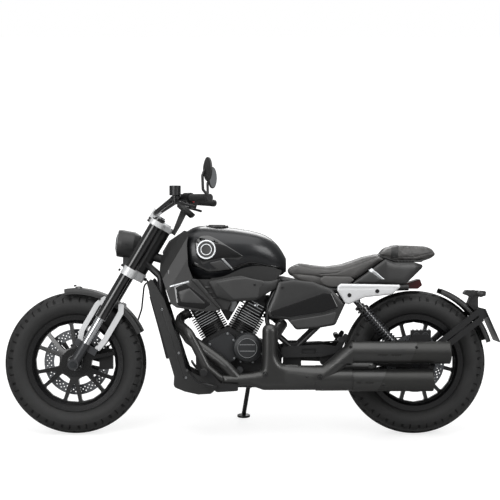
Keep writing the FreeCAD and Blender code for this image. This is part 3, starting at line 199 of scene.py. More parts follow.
# Moulded covers and shells: black polypropylene, screwed or clipped to brackets. The mould's spark-eroded grain
# scatters the light, so they look dull and greyer than the lacquered parts.
grained_plastic = mottled("grained_black_plastic", "#1e1e1e", "#272727", 0.0, 0.4, 0.54, 50, 0.7, 0.05)
dress(grained_plastic, "radiator_covers", "tank_shrouds", "mirrors", "instrument", "rear_indicators",
      "front_mudguard", "rear_mudguard", "headlamp_shell")

# Fork tubes, bar, rims and belt pulley: steel tube and cast aluminium under gloss black lacquer. Its clear coat
# shows thin, sharp lights along round parts and spokes.
gloss_lacquer = mottled("gloss_black_lacquer", "#0a0a0b", "#101011", 0.0, 0.2, 0.28, 90, 3.0, 0.01,
                        Coat_Weight=0.6, Coat_Roughness=0.1)
dress(gloss_lacquer, "rim_front", "rim_rear", "pulley_rear", "fork_tubes", "handlebar")


# Pieces that are made here are drawn upright, in millimetres, as if the machine stood straight. Turned parts
# come from a lathe, and socket-head screws, the commonest fixing on the machine, are turned too.
def make(name, bm, finishes, body, stands_for=(), sharp=32.0):
    """Leans a mesh drawn in upright millimetres, gives it its finishes, and lets it ride with its body."""
    bmesh.ops.recalc_face_normals(bm, faces=bm.faces)
    bm.transform(stance)
    mesh = bpy.data.meshes.new(name)
    bm.to_mesh(mesh)
    bm.free()
    for finish in finishes if isinstance(finishes, (list, tuple)) else [finishes]:
        mesh.materials.append(finish)
    mesh.polygons.foreach_set("use_smooth", [True] * len(mesh.polygons))
    mesh.set_sharp_from_angle(angle=math.radians(sharp))
    piece = bpy.data.objects.new(name, mesh)
    bpy.context.scene.collection.objects.link(piece)
    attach(piece, body)
    if stands_for:
        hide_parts(*stands_for)
    return piece


def lathe(bm, base, axis, radial, profile, segments=48, material=0, closed=False):
    """Turned surface about an axis from (along, out) or (along, out, sides) points; sides gives a polygon."""
    base, axis, radial = Vector(base), Vector(axis).normalized(), Vector(radial).normalized()
    across = axis.cross(radial)
    rings = []
    for spot in profile:
        along, out = spot[:2]
        if out == 0:
            rings.append([bm.verts.new(base + axis * along)])
            continue
        ring = []
        for k in range(segments):
            turn = math.tau * k / segments
            reach = out
            if len(spot) == 3:
                sector = math.tau / spot[2]
                reach = out / math.cos((turn % sector) - sector / 2)
            away = radial * math.cos(turn) + across * math.sin(turn)
            ring.append(bm.verts.new(base + axis * along + away * reach))
        rings.append(ring)
    pairs = list(zip(rings, rings[1:] + rings[:1])) if closed else list(zip(rings, rings[1:]))
    for low, high in pairs:
        for k in range(segments):
            after = (k + 1) % segments
            corners = [low[k % len(low)], low[after % len(low)], high[after % len(high)], high[k % len(high)]]
            corners = [corner for i, corner in enumerate(corners) if corner not in corners[:i]]
            if len(corners) > 2:
                bm.faces.new(corners).material_index = material


def screw(bm, spot, way, radius, height, material=0):
    """Socket-head screw standing on spot and facing way, with a hexagon socket."""
    way = Vector(way).normalized()
    soft = radius * 0.16
    socket, socket_floor = radius * 0.5, height * 0.35
    lathe(bm, spot, way, way.orthogonal(),
          [(-1, 0), (-1, radius), (height - soft, radius), (height, radius - soft), (height, socket, 6),
           (socket_floor, socket, 6), (socket_floor, 0)], 24, material)


# Cruiser tyres: vulcanised rubber, with slanting grooves moulded into a rounded tread and fine rings on the
# walls. Each sits on the rim's two bead seats. The rubber is a soft, warm black without highlights.
rubber = mottled("vulcanised_rubber", "#1a1a1a", "#232323", 0.0, 0.6, 0.75, 25, 1.0, 0.08)
groove_rubber = mottled("groove_rubber", "#060606", "#0a0a0a", 0.0, 0.75, 0.85, 25, 1.0, 0.05)
front_axle, rear_axle = (0.0, axle_height), (1532.0, 323.1)
bead_seat, flange, bead_inset = 203.3, 218.0, 7.3
wall_thick, tread_thick, ring_height = 9.0, 13.5, 0.9
around, wall_steps, tread_steps = 288, 26, 16
groove_pitch, groove_depth, groove_taper = 12, 4.5, 0.8


def about(axle, y, radius, turn):
    """Spot on a circle about an axle, which is given as (x, z)."""
    return Vector((axle[0] + radius * math.cos(turn), y, axle[1] + radius * math.sin(turn)))


def arc_through(first, middle, last, steps):
    """Points on the arc from first to last by way of middle, as (across, radius) pairs."""
    (ax, ay), (bx, by), (cx, cy) = first, middle, last
    double = 2 * (ax * (by - cy) + bx * (cy - ay) + cx * (ay - by))
    a2, b2, c2 = ax * ax + ay * ay, bx * bx + by * by, cx * cx + cy * cy
    centre = Vector(((a2 * (by - cy) + b2 * (cy - ay) + c2 * (ay - by)) / double,
                     (a2 * (cx - bx) + b2 * (ax - cx) + c2 * (bx - ax)) / double))
    start = Vector(first) - centre
    half_way = Vector(middle) - centre
    sweep = start.angle_signed(half_way) + half_way.angle_signed(Vector(last) - centre)
    points = []
    for k in range(steps + 1):
        turned = start.copy()
        turned.rotate(Matrix.Rotation(-sweep * k / steps, 2))
        points.append(tuple(centre + turned))
    return points


def grooved(across, total, k):
    """Whether a tread face lies in a groove: long ones from the middle line, and a short one between two."""
    far_half = across >= total / 2
    inward = total - 1 - across if far_half else across
    phase = (k + (groove_pitch // 2 if far_half else 0)) % groove_pitch
    return (phase < 2 and 1 <= inward <= 14) or (phase == groove_pitch // 2 and 0 <= inward <= 7)


def tyre(name, body, node, axle, radius, width, crown, rim_width):
    """Closed tyre whose tread is a crown of one radius between rounded walls; all sizes in millimetres."""
    bead = rim_width / 2 - bead_inset
    shoulder_turn = math.radians(50)
    shoulder_y = crown * math.sin(shoulder_turn)
    shoulder_r = radius - crown * (1 - math.cos(shoulder_turn))
    widest = (shoulder_r + flange) / 2
    wall = []
    for y, r in arc_through((bead, flange), (width / 2, widest), (shoulder_y, shoulder_r), wall_steps):
        on_ring = r < flange + 12 or abs(r - shoulder_r + 9) < 2.2 or abs(r - shoulder_r + 17) < 2.2
        wall.append((y + ring_height if on_ring else y, r))
    tread = [(crown * math.sin(turn), radius - crown + crown * math.cos(turn))
             for turn in (shoulder_turn * (1 - k / tread_steps) for k in range(1, 2 * tread_steps + 1))]
    lining = [(bead, bead_seat), (bead - wall_thick, bead_seat), (width / 2 - wall_thick, widest),
              (shoulder_y - wall_thick, radius - tread_thick)]
    outer = wall + tread[:-1] + [(-y, r) for y, r in reversed(wall)]
    inner = [(-y, r) for y, r in lining] + lining[::-1]
    bm = bmesh.new()
    rings = []
    for y, r in outer + inner:
        slant = 8.0 * min(1.0, abs(y) / shoulder_y) ** 1.4
        rings.append([bm.verts.new(about(axle, y, r, math.tau * (k + slant) / around)) for k in range(around)])
    grooves = []
    first_row = len(wall) - 6
    total = len(tread) + 11
    for row, (low, high) in enumerate(zip(rings, rings[1:] + rings[:1])):
        for k in range(around):
            face = bm.faces.new((low[k], low[(k + 1) % around], high[(k + 1) % around], high[k]))
            if 0 <= row - first_row < total and grooved(row - first_row, total, k):
                face.material_index = 1
                grooves.append(face)
    bmesh.ops.recalc_face_normals(bm, faces=bm.faces)
    bmesh.ops.inset_region(bm, faces=grooves, thickness=groove_taper, depth=-groove_depth, use_boundary=True,
                           use_even_offset=True)
    make(name, bm, [rubber, groove_rubber], body, (node,), 40.0)


tyre("front_tyre", "front_wheel", "tyre_front", front_axle, 320.0, 130.0, 70.0, 90.0)
tyre("rear_tyre", "rear_wheel", "tyre_rear", rear_axle, 323.0, 150.0, 80.0, 114.0)
dress(rubber, "belt")


# Brake discs: stainless steel rings, drilled through in a checker of holes and bolted to black five-armed
# carriers. They are ground about the axle, and the fine rings stretch the highlights into bright fans. The
# steel's two tones are painted darker than bare stainless, as painted shade over the discs.
disc_thick, hole_radius = 5.0, 2.9
hub_radius = 40


def ringed_steel_painted_shade(name, axle):
    """Steel ground in fine rings about a wheel's axle; its tones are darkened as painted shade."""
    made = new_finish(name, "#b4b6b8", 1.0, 0.28)
    centre = stance @ Vector((axle[0], 0, axle[1]))
    place = add(made, "Mapping", {"Vector": add(made, "TexCoord").outputs["Object"], "Location": centre,
                                  "Rotation": lean_turn.to_euler("XYZ")}, vector_type="TEXTURE")
    parts = add(made, "SeparateXYZ", {"Vector": place.outputs[0]})
    level_place = add(made, "CombineXYZ", {"X": parts.outputs["X"], "Y": parts.outputs["Z"]})
    radius = add(made, "VectorMath", {"Vector": level_place.outputs[0]}, operation="LENGTH")
    lines = add(made, "TexNoise", {"W": radius.outputs["Value"], "Scale": 900.0, "Detail": 3.0},
                noise_dimensions="1D")
    gloss = add(made, "MapRange", {"Value": lines.outputs[0], "To Min": 0.2, "To Max": 0.42})
    # Painted shade: both ring tones are darker than bare stainless, for the shade that falls over the discs.
    tone = add(made, "Mix", {0: lines.outputs[0], first_colour: linear("#5c5e61"),
                             second_colour: linear("#85878a")}, data_type="RGBA")
    feed(made, Roughness=gloss.outputs[0], Base_Color=tone.outputs[mixed])
    return made


def drilled_disc(name, body, node, axle, y, outer, inner):
    """Ring of polar cells, every second one with a hole, on an open five-armed carrier."""
    bm = bmesh.new()
    rows, sectors = 5, 72
    middle_y = y + disc_thick / 2
    for face_y in (y, y + disc_thick):
        for row in range(rows):
            low = inner + (outer - inner) * row / rows
            high = inner + (outer - inner) * (row + 1) / rows
            middle = (low + high) / 2
            for sector in range(sectors):
                first, half, last = (math.tau * (sector + part) / sectors for part in (0, 0.5, 1))
                corners = [bm.verts.new(about(axle, face_y, r, turn)) for r, turn in (
                    (low, first), (low, half), (low, last), (middle, last),
                    (high, last), (high, half), (high, first), (middle, first))]
                if (row + sector) % 2 or row in (0, rows - 1):
                    bm.faces.new(corners)
                    continue
                centre = about(axle, face_y, middle, half)
                hole = [bm.verts.new(centre + (corner.co - centre).normalized() * hole_radius) for corner in corners]
                for k in range(8):
                    bm.faces.new((corners[k], corners[k - 7], hole[k - 7], hole[k]))
    bmesh.ops.remove_doubles(bm, verts=bm.verts, dist=0.01)
    upper = {(round(vert.co.x, 2), round(vert.co.z, 2)): vert for vert in bm.verts if vert.co.y > middle_y}
    for edge in [edge for edge in bm.edges if edge.is_boundary and edge.verts[0].co.y < middle_y]:
        a, b = edge.verts
        c, d = (upper[(round(vert.co.x, 2), round(vert.co.z, 2))] for vert in (b, a))
        bm.faces.new((a, b, c, d))
    for k in range(5):
        turn = math.radians(72 * k + 54)
        along = Vector((math.cos(turn), 0, math.sin(turn)))
        side = Vector((-along.z, 0, along.x))
        foot, tip = 34.0, inner + 3
        low_verts, high_verts = (
            [bm.verts.new(Vector((axle[0], level, axle[1])) + along * r + side * half * sign)
             for r, half in ((foot, 13.0), ((foot + tip) / 2, 8.0), (tip, 12.0)) for sign in (-1, 1)]
            for level in (y + 0.2, y + disc_thick - 0.2))
        walls = [(low_verts[i], low_verts[j], high_verts[j], high_verts[i])
                 for i, j in ((0, 1), (1, 3), (3, 5), (5, 4), (4, 2), (2, 0))]
        sides = [[verts[i] for i in quad] for verts in (low_verts, high_verts)
                 for quad in ((0, 1, 3, 2), (2, 3, 5, 4))]
        for corners in sides + walls:
            bm.faces.new(corners).material_index = 1
    lathe(bm, (axle[0], y, axle[1]), (0, 1, 0), (0, 0, 1),
          [(0.1, 21), (0.1, hub_radius), (disc_thick - 0.1, hub_radius), (disc_thick - 0.1, 21)], 48, 1, True)
    make(name, bm, [ringed_steel_painted_shade(name + "_steel", axle), gloss_lacquer], body, (node,), 30.0)


drilled_disc("front_disc", "front_wheel", "disc_front", front_axle, 48.3, 150.0, 105.0)
drilled_disc("rear_disc", "rear_wheel", "disc_rear", rear_axle, -81.3, 130.0, 90.0)

# Wheel hubs: the near ends of the cast hubs are closed by caps, held by a ring of zinc-plated screws. The axles
# are blackened steel, which shows brown-black lights.
bright_steel = mottled("zinc_plated_steel", "#aeb0b2", "#c2c4c6", 1.0, 0.22, 0.36, 20, 0.8, 0.02)
dark_steel = mottled("blackened_steel", "#303234", "#3c3e40", 0.8, 0.3, 0.42, 20, 0.8, 0.02)
dress(dark_steel, "front_axle", "rear_axle")
for name, body, axle, y, count, first in (("front_hub_screws", "front_wheel", front_axle, -48.0, 6, 30),
                                          ("rear_hub_screws", "rear_wheel", rear_axle, -81.5, 5, 54)):
    bm = bmesh.new()
    for k in range(count):
        screw(bm, about(axle, y, 29, math.radians(360 / count * k + first)), (0, -1, 0), 4.2, 4.0)
    make(name, bm, bright_steel, body)

# Fork: hard-chromed stanchions between lacquered legs and cast feet, held in silver-painted forged clamps by
# pinch bolts. Seals and adjusters are bright. The paint is pale and even, the chrome a dark mirror.
silver_paint = mottled("silver_painted_forging", "#d2d3d4", "#dedfe0", 0.25, 0.3, 0.42, 70, 1.4, 0.03)
dress(silver_paint, "lower_clamp", "upper_clamp", "mudguard_stays")
slider_paint = mottled("grey_painted_fork_foot", "#3a3b3d", "#47484a", 0.5, 0.3, 0.42, 50, 1.2, 0.03)
dress(slider_paint, "fork_sliders")
hard_chrome = mottled("hard_chrome", "#c6c8ca", "#d6d8da", 1.0, 0.14, 0.22, 40, 3.0, 0.002)
rake, leg_y = math.radians(30.5), 112
fork_way = Vector((math.sin(rake), 0, math.cos(rake)))
fork_back = Vector((math.cos(rake), 0, -math.sin(rake)))


def fork_point(behind, y, along):
    """Spot at a distance behind the fork's line and along it, measured from the front axle."""
    return Vector((0, y, axle_height)) + fork_back * behind + fork_way * along


bm = bmesh.new()
for side in (-1, 1):
    for along, behind in ((470, -32.5), (494, -32.5), (726, -33.5), (738, -33.5)):
        screw(bm, fork_point(behind, side * (leg_y + 20), along), -fork_back, 5.5, 8)
    for along in (84, 102):
        for behind in (-34, 48):
            screw(bm, fork_point(behind, side * 85.3, along), (0, side, 0), 5.5, 4)
make("fork_screws", bm, powder_coat, "steering")
bm = bmesh.new()
for y in (-leg_y, leg_y):
    for along, profile, material, closed in (
            (236.5, [(0, 19.2), (0, 25.2), (4.2, 25.6), (4.2, 19.2)], 0, True),
            (757.3, [(0, 0), (0, 12, 6), (7, 12, 6), (8, 11, 6), (8, 0)], 0, False),
            (0, [(109, 18.2), (109, 18.9), (236, 18.9), (236, 18.2)], 1, True)):
        lathe(bm, fork_point(0, y, along), fork_way, fork_back, profile, 48, material, closed)
make("fork_seals_and_adjusters", bm, [bright_steel, hard_chrome], "steering")


# Engine: black-painted aluminium castings, bolted up round the crankcase. The upper fins have machined bright
# edges, and the graphite covers carry bare bands, bosses and zinc-plated screws. The paint shows the sand
# casting's coarse grain.
black_casting = mottled("black_painted_casting", "#121213", "#1b1b1c", 0.1, 0.36, 0.52, 35, 0.9, 0.1)
dress(black_casting, "crankcase", "cylinder_front", "cylinder_rear", "intake", "radiator")
cover_grey = mottled("graphite_painted_cover", "#262728", "#303133", 0.3, 0.38, 0.5, 30, 0.9, 0.06)
dress(cover_grey, "engine_covers")
machined = mottled("machined_aluminium_edge", "#d0d2d4", "#e2e4e5", 0.9, 0.24, 0.38, 15, 0.5, 0.02)
barrel_places = [Matrix.Translation((690, 0, 354)) @ Matrix.Rotation(math.radians(29 * way), 4, "Y")
                 for way in (-1, 1)]
clutch, generator = (778, 396), (680, 360)


def block(bm, low, high, place=Matrix(), material=0):
    """Box between two corners, carried by a matrix."""
    made = bmesh.ops.create_cube(bm, size=1.0)["verts"]
    size = Vector(high) - Vector(low)
    middle = (Vector(high) + Vector(low)) / 2
    bmesh.ops.transform(bm, matrix=place @ Matrix.Translation(middle) @ Matrix.Diagonal((*size, 1.0)), verts=made)
    for face in {face for vert in made for face in vert.link_faces}:
        face.material_index = material


bm = bmesh.new()
barrel_fins = [(115.3 + 10.8 * k, 44, 76) for k in range(5, 10)]
head_fins = [(226 + 14 * k, 36, 68) for k in range(4)]
for place in barrel_places:
    for low, half_x, y in barrel_fins + head_fins:
        for side in (-1, 1):
            block(bm, (-half_x, side * y - 0.5, low + 0.5), (half_x, side * y + 0.5, low + 3.1), place)
make("machined_fin_edges", bm, machined, "chassis")

bm = bmesh.new()
for place in barrel_places:
    up = place.to_3x3() @ Vector((0, 0, 1))
    for x in (-30, 30):
        for y in (-48, 48):
            screw(bm, place @ Vector((x, y, 322)), up, 5.5, 5)
    for side in (-1, 1):
        lathe(bm, place @ Vector((0, side * 66, 262)), place.to_3x3() @ Vector((0, side, 0.25)), (1, 0, 0),
              [(0, 0), (0, 9, 6), (10, 9, 6), (11, 5), (24, 5), (24, 0)], 24)
for x, z in ((612, 411), (690, 458), (716, 430), (720, 350), (654, 334), (617, 356)):
    screw(bm, (x, -150.3, z), (0, -1, 0), 5.0, 5)
for k in range(8):
    boss = about(clutch, -93, 71, math.radians(45 * k + 20))
    lathe(bm, boss, (0, -1, 0), (1, 0, 0), [(0, 7.5), (9, 7), (9, 0)], 24, 1)
    screw(bm, boss + Vector((0, -9, 0)), (0, -1, 0), 4.6, 4.5)
    screw(bm, about(generator, 132.3, 76, math.radians(45 * k)), (0, 1, 0), 4.6, 4.5)
for x, z in ((858, 404), (908, 408), (924, 345), (908, 300), (856, 304)):
    screw(bm, (x, 120.4, z), (0, 1, 0), 4.6, 4.5)
for way, (x, z), y, radius in ((-1, clutch, -182.2, 42), (1, generator, 148.2, 49)):
    lathe(bm, (x, y, z), (0, way, 0), (1, 0, 0),
          [(0, radius - 0.4), (0.8, radius), (0.8, radius + 1), (0, radius + 1.4)], 72, 2, True)
for z in (383, 411):
    block(bm, (744, -183.6, z - 1), (812, -182, z + 1), material=2)
lathe(bm, (745, -150, 300), (0, -1, 0), (1, 0, 0), [(58, 0), (58, 12, 6), (46, 12, 6), (46, 15), (0, 15)], 24, 1)
make("engine_fasteners", bm, [bright_steel, cover_grey, machined], "chassis")

# Radiator: a black-painted aluminium core between two tanks, hung from the frame's front tubes. Fine upright
# fins show from the front and from behind.
fin_count, fin_pitch, fin_half = 88, 2.575, 0.4
core_way = Vector((80, 0, -288)).normalized()
core_out = Vector((core_way.z, 0, -core_way.x))
core_start = Vector((351, 0, 646)) + core_way * 20
core_place = Matrix(((core_way.x, 0, core_out.x, core_start.x), (0, 1, 0, 0),
                     (core_way.z, 0, core_out.z, core_start.z), (0, 0, 0, 1)))
bm = bmesh.new()
for k in range(fin_count):
    y = fin_pitch * k - 112
    block(bm, (0, y - fin_half, 12.2), (256, y + fin_half, 17.5), core_place)
make("radiator_fins", bm, powder_coat, "chassis")


# Fuel tank: pressed and welded steel in satin graphite lacquer, whose clear coat lays a soft sheen over its long
# curves. Inlays and covers are drawn as closed plates over outlines in the side view, with soft edges.
tank_paint = mottled("satin_graphite_lacquer", "#141517", "#1a1b1e", 0.35, 0.3, 0.38, 120, 0.6, 0.004,
                     Coat_Weight=0.3, Coat_Roughness=0.16)
dress(tank_paint, "tank")
gloss_black = mottled("piano_black_lacquer", "#050506", "#09090a", 0.0, 0.08, 0.12, 200, 6.0, 0.004,
                      Coat_Weight=1.0, Coat_Roughness=0.03)
# The trims are painted mouldings: a dark grey just above black, and a satin silver that catches every light.
dark_trim = mottled("dark_grey_trim", "#373737", "#414141", 0.1, 0.34, 0.44, 60, 0.8, 0.02)
bright_trim = mottled("satin_silver_trim", "#b9bbbd", "#cbcdcf", 0.7, 0.26, 0.36, 40, 0.5, 0.01)
arc_steps = 6


def rounded(outline):
    """Points round an (x, z, r) outline, with an arc of radius r at each corner."""
    spots = [Vector(corner[:2]) for corner in outline]
    points = []
    for i, spot in enumerate(spots):
        radius = outline[i][2]
        if radius == 0:
            points.append(spot)
            continue
        back = (spots[i - 1] - spot).normalized()
        ahead = (spots[(i + 1) % len(spots)] - spot).normalized()
        half = back.angle(ahead) / 2
        centre = spot + (back + ahead).normalized() * radius / math.sin(half)
        start = spot + back * radius / math.tan(half) - centre
        sweep = start.angle_signed(spot + ahead * radius / math.tan(half) - centre)
        for k in range(arc_steps + 1):
            turned = start.copy()
            turned.rotate(Matrix.Rotation(-sweep * k / arc_steps, 2))
            points.append(centre + turned)
    return points


def depth_inside(spots, ring):
    """Distance of each 2-D spot inside a closed ring, and below zero outside it."""
    spots, start = np.array(spots), np.array(ring)
    run = np.roll(start, -1, axis=0) - start
    offset = spots[:, None] - start
    share = np.clip((offset * run).sum(2) / (run * run).sum(1), 0, 1)
    gap = np.linalg.norm(offset - share[..., None] * run, axis=2).min(1)
    above = start[:, 1] > spots[:, None, 1]
    crosses = above != (np.roll(start, -1, axis=0)[:, 1] > spots[:, None, 1])
    rise = np.where(run[:, 1] == 0, 1.0, run[:, 1])
    at = start[:, 0] + (spots[:, None, 1] - start[:, 1]) * run[:, 0] / rise
    inside = (crosses & (spots[:, None, 0] < at)).sum(1) % 2 == 1
    return np.where(inside, gap, -gap)


def filled(outline, cell, bands):
    """Spots, triangles and border of a filled outline, with spots on bands inside the border and on a grid."""
    drawn = rounded(outline)
    ring = [spot for i, spot in enumerate(drawn) if (spot - drawn[i - 1]).length > 0.05]
    if sum(a.x * b.y - b.x * a.y for a, b in zip(ring, ring[1:] + ring[:1])) < 0:
        ring.reverse()
    border = []
    for a, b in zip(ring, ring[1:] + ring[:1]):
        count = max(1, round((b - a).length / cell))
        border += [a.lerp(b, k / count) for k in range(count)]
    total = len(border)
    spots = []
    for band in bands:
        for i, spot in enumerate(border):
            along = (border[(i + 1) % total] - border[i - 1]).normalized()
            spots.append(spot + Vector((-along.y, along.x)) * band)
    depth = depth_inside(spots, border)
    kept = [spot for i, spot in enumerate(spots) if depth[i] > bands[i // total] * 0.93]
    low = Vector((min(p.x for p in border), min(p.y for p in border)))
    high = Vector((max(p.x for p in border), max(p.y for p in border)))
    row = cell * 0.87
    grid = [Vector((low.x + cell * (i + 0.5 * (j % 2)), low.y + row * j))
            for i in range(int((high.x - low.x) / cell) + 1) for j in range(int((high.y - low.y) / row) + 1)]
    depth = depth_inside(grid, border)
    kept += [spot for i, spot in enumerate(grid) if depth[i] > bands[-1] + cell * 0.45]
    rim = [(i, (i + 1) % total) for i in range(total)]
    out = geometry.delaunay_2d_cdt(border + kept, rim, [list(range(total))], 1, 0.01, True)
    where = {source: i for i, sources in enumerate(out[3]) for source in sources}
    depth = depth_inside([sum((out[0][i] for i in face), Vector((0, 0))) / len(face) for face in out[2]], border)
    return out[0], [face for face, gap in zip(out[2], depth) if gap > 0], [where[i] for i in range(total)]


def plate(bm, outline, outer, inner, cell=14.0, bands=(0.7, 2.0, 4.5, 9.0), material=0):
    """Closed plate over an outline; outer and inner give the Y of its faces from (x, z, depth)."""
    spots, faces, border = filled(outline, cell, bands)
    depth = np.maximum(depth_inside(spots, [spots[i] for i in border]), 0.0)
    top = [bm.verts.new((x, outer(x, z, d), z)) for (x, z), d in zip(spots, depth)]
    base = [bm.verts.new((x, inner(x, z, d), z)) for (x, z), d in zip(spots, depth)]
    for face in faces:
        bm.faces.new([top[i] for i in face]).material_index = material
        bm.faces.new([base[i] for i in reversed(face)]).material_index = material
    for a, b in zip(border, border[1:] + border[:1]):
        bm.faces.new((top[a], top[b], base[b], base[a])).material_index = material


def flat(y):
    """Flat face of a plate."""
    return lambda x, z, depth: y


def crowned(side, base, wall, soft=7.0, share=0.6):
    """Outer face of a moulded cover: full thickness inside, and eased down towards its edge."""
    return lambda x, z, depth: side * (base + wall * (1 - share * math.exp(-depth / soft)))


def search_tree(*names):
    """Search tree of some CAD nodes' faces in upright millimetres."""
    corners, faces = [], []
    upright = stance.inverted()
    for name in names:
        first = len(corners)
        corners += [upright @ vert.co for vert in nodes[name].data.vertices]
        faces += [[first + i for i in face.vertices] for face in nodes[name].data.polygons]
    return BVHTree.FromPolygons(corners, faces)


def surface_at(tree, side, x, z):
    """Y of a surface met from one side, or of the nearest one beside the ray."""
    for shift in (0, 4, 10, 20, 34, 52):
        for turn in range(1 if shift == 0 else 8):
            spot = (x + shift * math.cos(turn * math.pi / 4), side * 400, z + shift * math.sin(turn * math.pi / 4))
            met = tree.ray_cast(spot, (0, -side, 0))[0]
            if met:
                return met.y
    return side * 100


def draped(bm, outline, tree, side, lift, soft=1.6, cell=9.0, material=0):
    """Thin raised piece that follows a surface under its outline, and is sunk a little into it."""
    def outer(x, z, depth):
        return surface_at(tree, side, x, z) + side * lift * (1 - math.exp(-depth / soft))

    def inner(x, z, depth):
        return surface_at(tree, side, x, z) - side * 1.2

    plate(bm, outline, outer, inner, cell, (0.5, 1.4, 3.2), material)


# Tank sides: moulded inlays glued on the tank. Gloss black surrounds a bare round badge, a dark flash has a
# silver edge, and a gloss band runs along the tank's foot.
tank_tree = search_tree("tank")
bm = bmesh.new()
for side in (-1, 1):
    draped(bm, [(541, 872, 14), (571, 895, 30), (606, 897, 40), (650, 875, 60), (701, 841, 60), (764, 802, 8),
                (742, 786, 10), (668, 793, 20), (604, 777, 20), (577, 760, 10), (550, 808, 60)],
           tank_tree, side, 1.4)
    draped(bm, [(524, 758, 8), (560, 752, 30), (604, 731, 30), (650, 735, 60), (722, 743, 60), (787, 768, 40),
                (860, 752, 60), (925, 742, 8), (920, 756, 8), (860, 766, 60), (792, 780, 40), (722, 756, 60),
                (650, 748, 60), (604, 745, 30), (540, 778, 14)], tank_tree, side, 1.2)
    draped(bm, [(607, 774, 3), (660, 786, 3), (705, 742, 3), (647, 739, 3)], tank_tree, side, 2.0, material=1)
    draped(bm, [(661, 792, 2), (672, 794, 2), (720, 743, 2), (710, 740, 2)], tank_tree, side, 2.6, material=2)
make("tank_inlays", bm, [gloss_black, dark_trim, bright_trim], "chassis")
bm = bmesh.new()
for side in (-1, 1):
    spots = [about((595, 833), 0, 30, turn) for turn in (0.5, 2.6, 4.7)]
    for spot in spots:
        spot.y = surface_at(tank_tree, side, spot.x, spot.z)
    middle = sum(spots, Vector()) / 3
    facing = (spots[1] - spots[0]).cross(spots[2] - spots[0]).normalized()
    facing = facing if facing.y * side > 0 else -facing
    for material, profile in ((0, [(0, 0), (0, 43.5), (6.5, 43.5), (8, 42), (8, 37.5), (6.6, 36)]),
                              (1, [(6.6, 36), (6.2, 30), (6.6, 27), (6.6, 26)]),
                              (0, [(6.6, 26), (7.6, 25), (7.6, 22.5), (6.4, 21.5)]),
                              (1, [(6.4, 21.5), (6.0, 12), (6.0, 0)])):
        lathe(bm, middle - facing * 3, facing, facing.cross((0, 0, 1)), profile, 72, material)
make("tank_badges", bm, [bright_trim, powder_coat], "chassis")

# Filler cap: a turned aluminium lid in dark grey, on a ring that six screws hold down on the tank. Its steps and
# soft edges give it fine bright circles.
cap_x, cap_z, cap_axis = 640, 937.2, (-0.01, 0, 1)
bm = bmesh.new()
lathe(bm, (cap_x, 0, cap_z - 4), cap_axis, (1, 0, 0),
      [(0, 0), (0, 52), (6, 52), (7.5, 50.5), (7.5, 42), (6.2, 41), (6.2, 40), (11, 38.5), (12.5, 36), (12.5, 16),
       (11.2, 14.5), (11.2, 0)], 72)
for k in range(6):
    turn = math.radians(60 * k)
    screw(bm, (cap_x + 46.5 * math.cos(turn), 46.5 * math.sin(turn), cap_z + 3.2), cap_axis, 3.6, 2.0)
make("filler_cap", bm, dark_trim, "chassis")

# Tank skirts: thin moulded plastic that is clipped below the tank and closes the gap to the covers. They bow
# out round the tank's middle.
bm = bmesh.new()
for side in (-1, 1):
    faces = [lambda x, z, depth, y=y: side * (y - 0.05 * abs(x - 720)) for y in (100, 97)]
    plate(bm, [(606, 742, 10), (700, 754, 20), (790, 772, 20), (900, 752, 12), (936, 738, 6), (900, 684, 10),
               (840, 680, 20), (754, 704, 20), (620, 690, 10)], *faces, 20.0, (1.0, 4.0))
make("tank_skirts", bm, grained_plastic, "chassis")

# Covers below the tank: grained plastic shells with a crown and a smoother dark facet, each held by one screw.
# The facet is a lighter grey than the shell.
bm = bmesh.new()
for side in (-1, 1):
    plate(bm, [(600, 690, 10), (714, 712, 20), (754, 716, 20), (838, 692, 20), (885, 692, 10), (921, 703, 6),
               (905, 660, 30), (814, 605, 20), (710, 601, 20), (640, 620, 14)], crowned(side, 132, 13),
          flat(side * 132))
    plate(bm, [(634, 688, 6), (716, 703, 20), (772, 708, 20), (866, 690, 10), (833, 662, 10), (826, 618, 10),
               (716, 611, 10)], crowned(side, 143, 3.4, 2.0, 0.9), flat(side * 141), material=1)
    screw(bm, (811, side * 145.5, 676), (0, side, 0), 5.5, 3.5, 2)
make("mid_cover_mouldings", bm, [grained_plastic, dark_trim, powder_coat], "chassis", ("mid_covers",))

# Tank shrouds: each carries a gloss black scoop with a dark floor, a silver strip and a strut across it, all
# moulded apart and clipped on.
shroud_tree = search_tree("tank_shrouds")
bm = bmesh.new()
for side in (-1, 1):
    draped(bm, [(452, 666, 4), (500, 686, 10), (560, 640, 20), (618, 590, 8), (582, 564, 10), (476, 580, 10),
                (462, 594, 10)], shroud_tree, side, 0.8)
    draped(bm, [(470, 646, 4), (520, 662, 4), (596, 591, 4), (482, 598, 6)], shroud_tree, side, 3.0, 3.0, material=1)
    draped(bm, [(431, 672, 2), (518, 695, 2), (521, 685, 2), (433, 663, 2)], shroud_tree, side, 3.4, material=2)
    draped(bm, [(521, 704, 4), (556, 701, 6), (664, 572, 3), (650, 567, 3)], shroud_tree, side, 5.0, 2.5, material=3)
    draped(bm, [(424, 742, 3), (430, 742, 3), (430, 724, 3), (424, 724, 3)], shroud_tree, side, 0.6)
make("shroud_scoops", bm, [gloss_black, dark_trim, bright_trim, grained_plastic], "chassis")

# Intake plenum: a black moulded box between the barrels, under the covers, with a bare metal bracket on its
# near side.
bm = bmesh.new()
plate(bm, [(690, 506, 6), (745, 600, 8), (745, 612, 8), (635, 612, 8), (635, 600, 8)], crowned(-1, 28, 6),
      crowned(1, 28, 6), 14.0)
plate(bm, [(696, 556, 3), (718, 550, 3), (732, 590, 6), (728, 612, 3), (700, 612, 3), (704, 590, 6)],
      crowned(-1, 34, 3, 1.5, 0.9), flat(-33), 14.0, material=1)
make("intake_plenum", bm, [grained_plastic, bright_trim], "chassis")

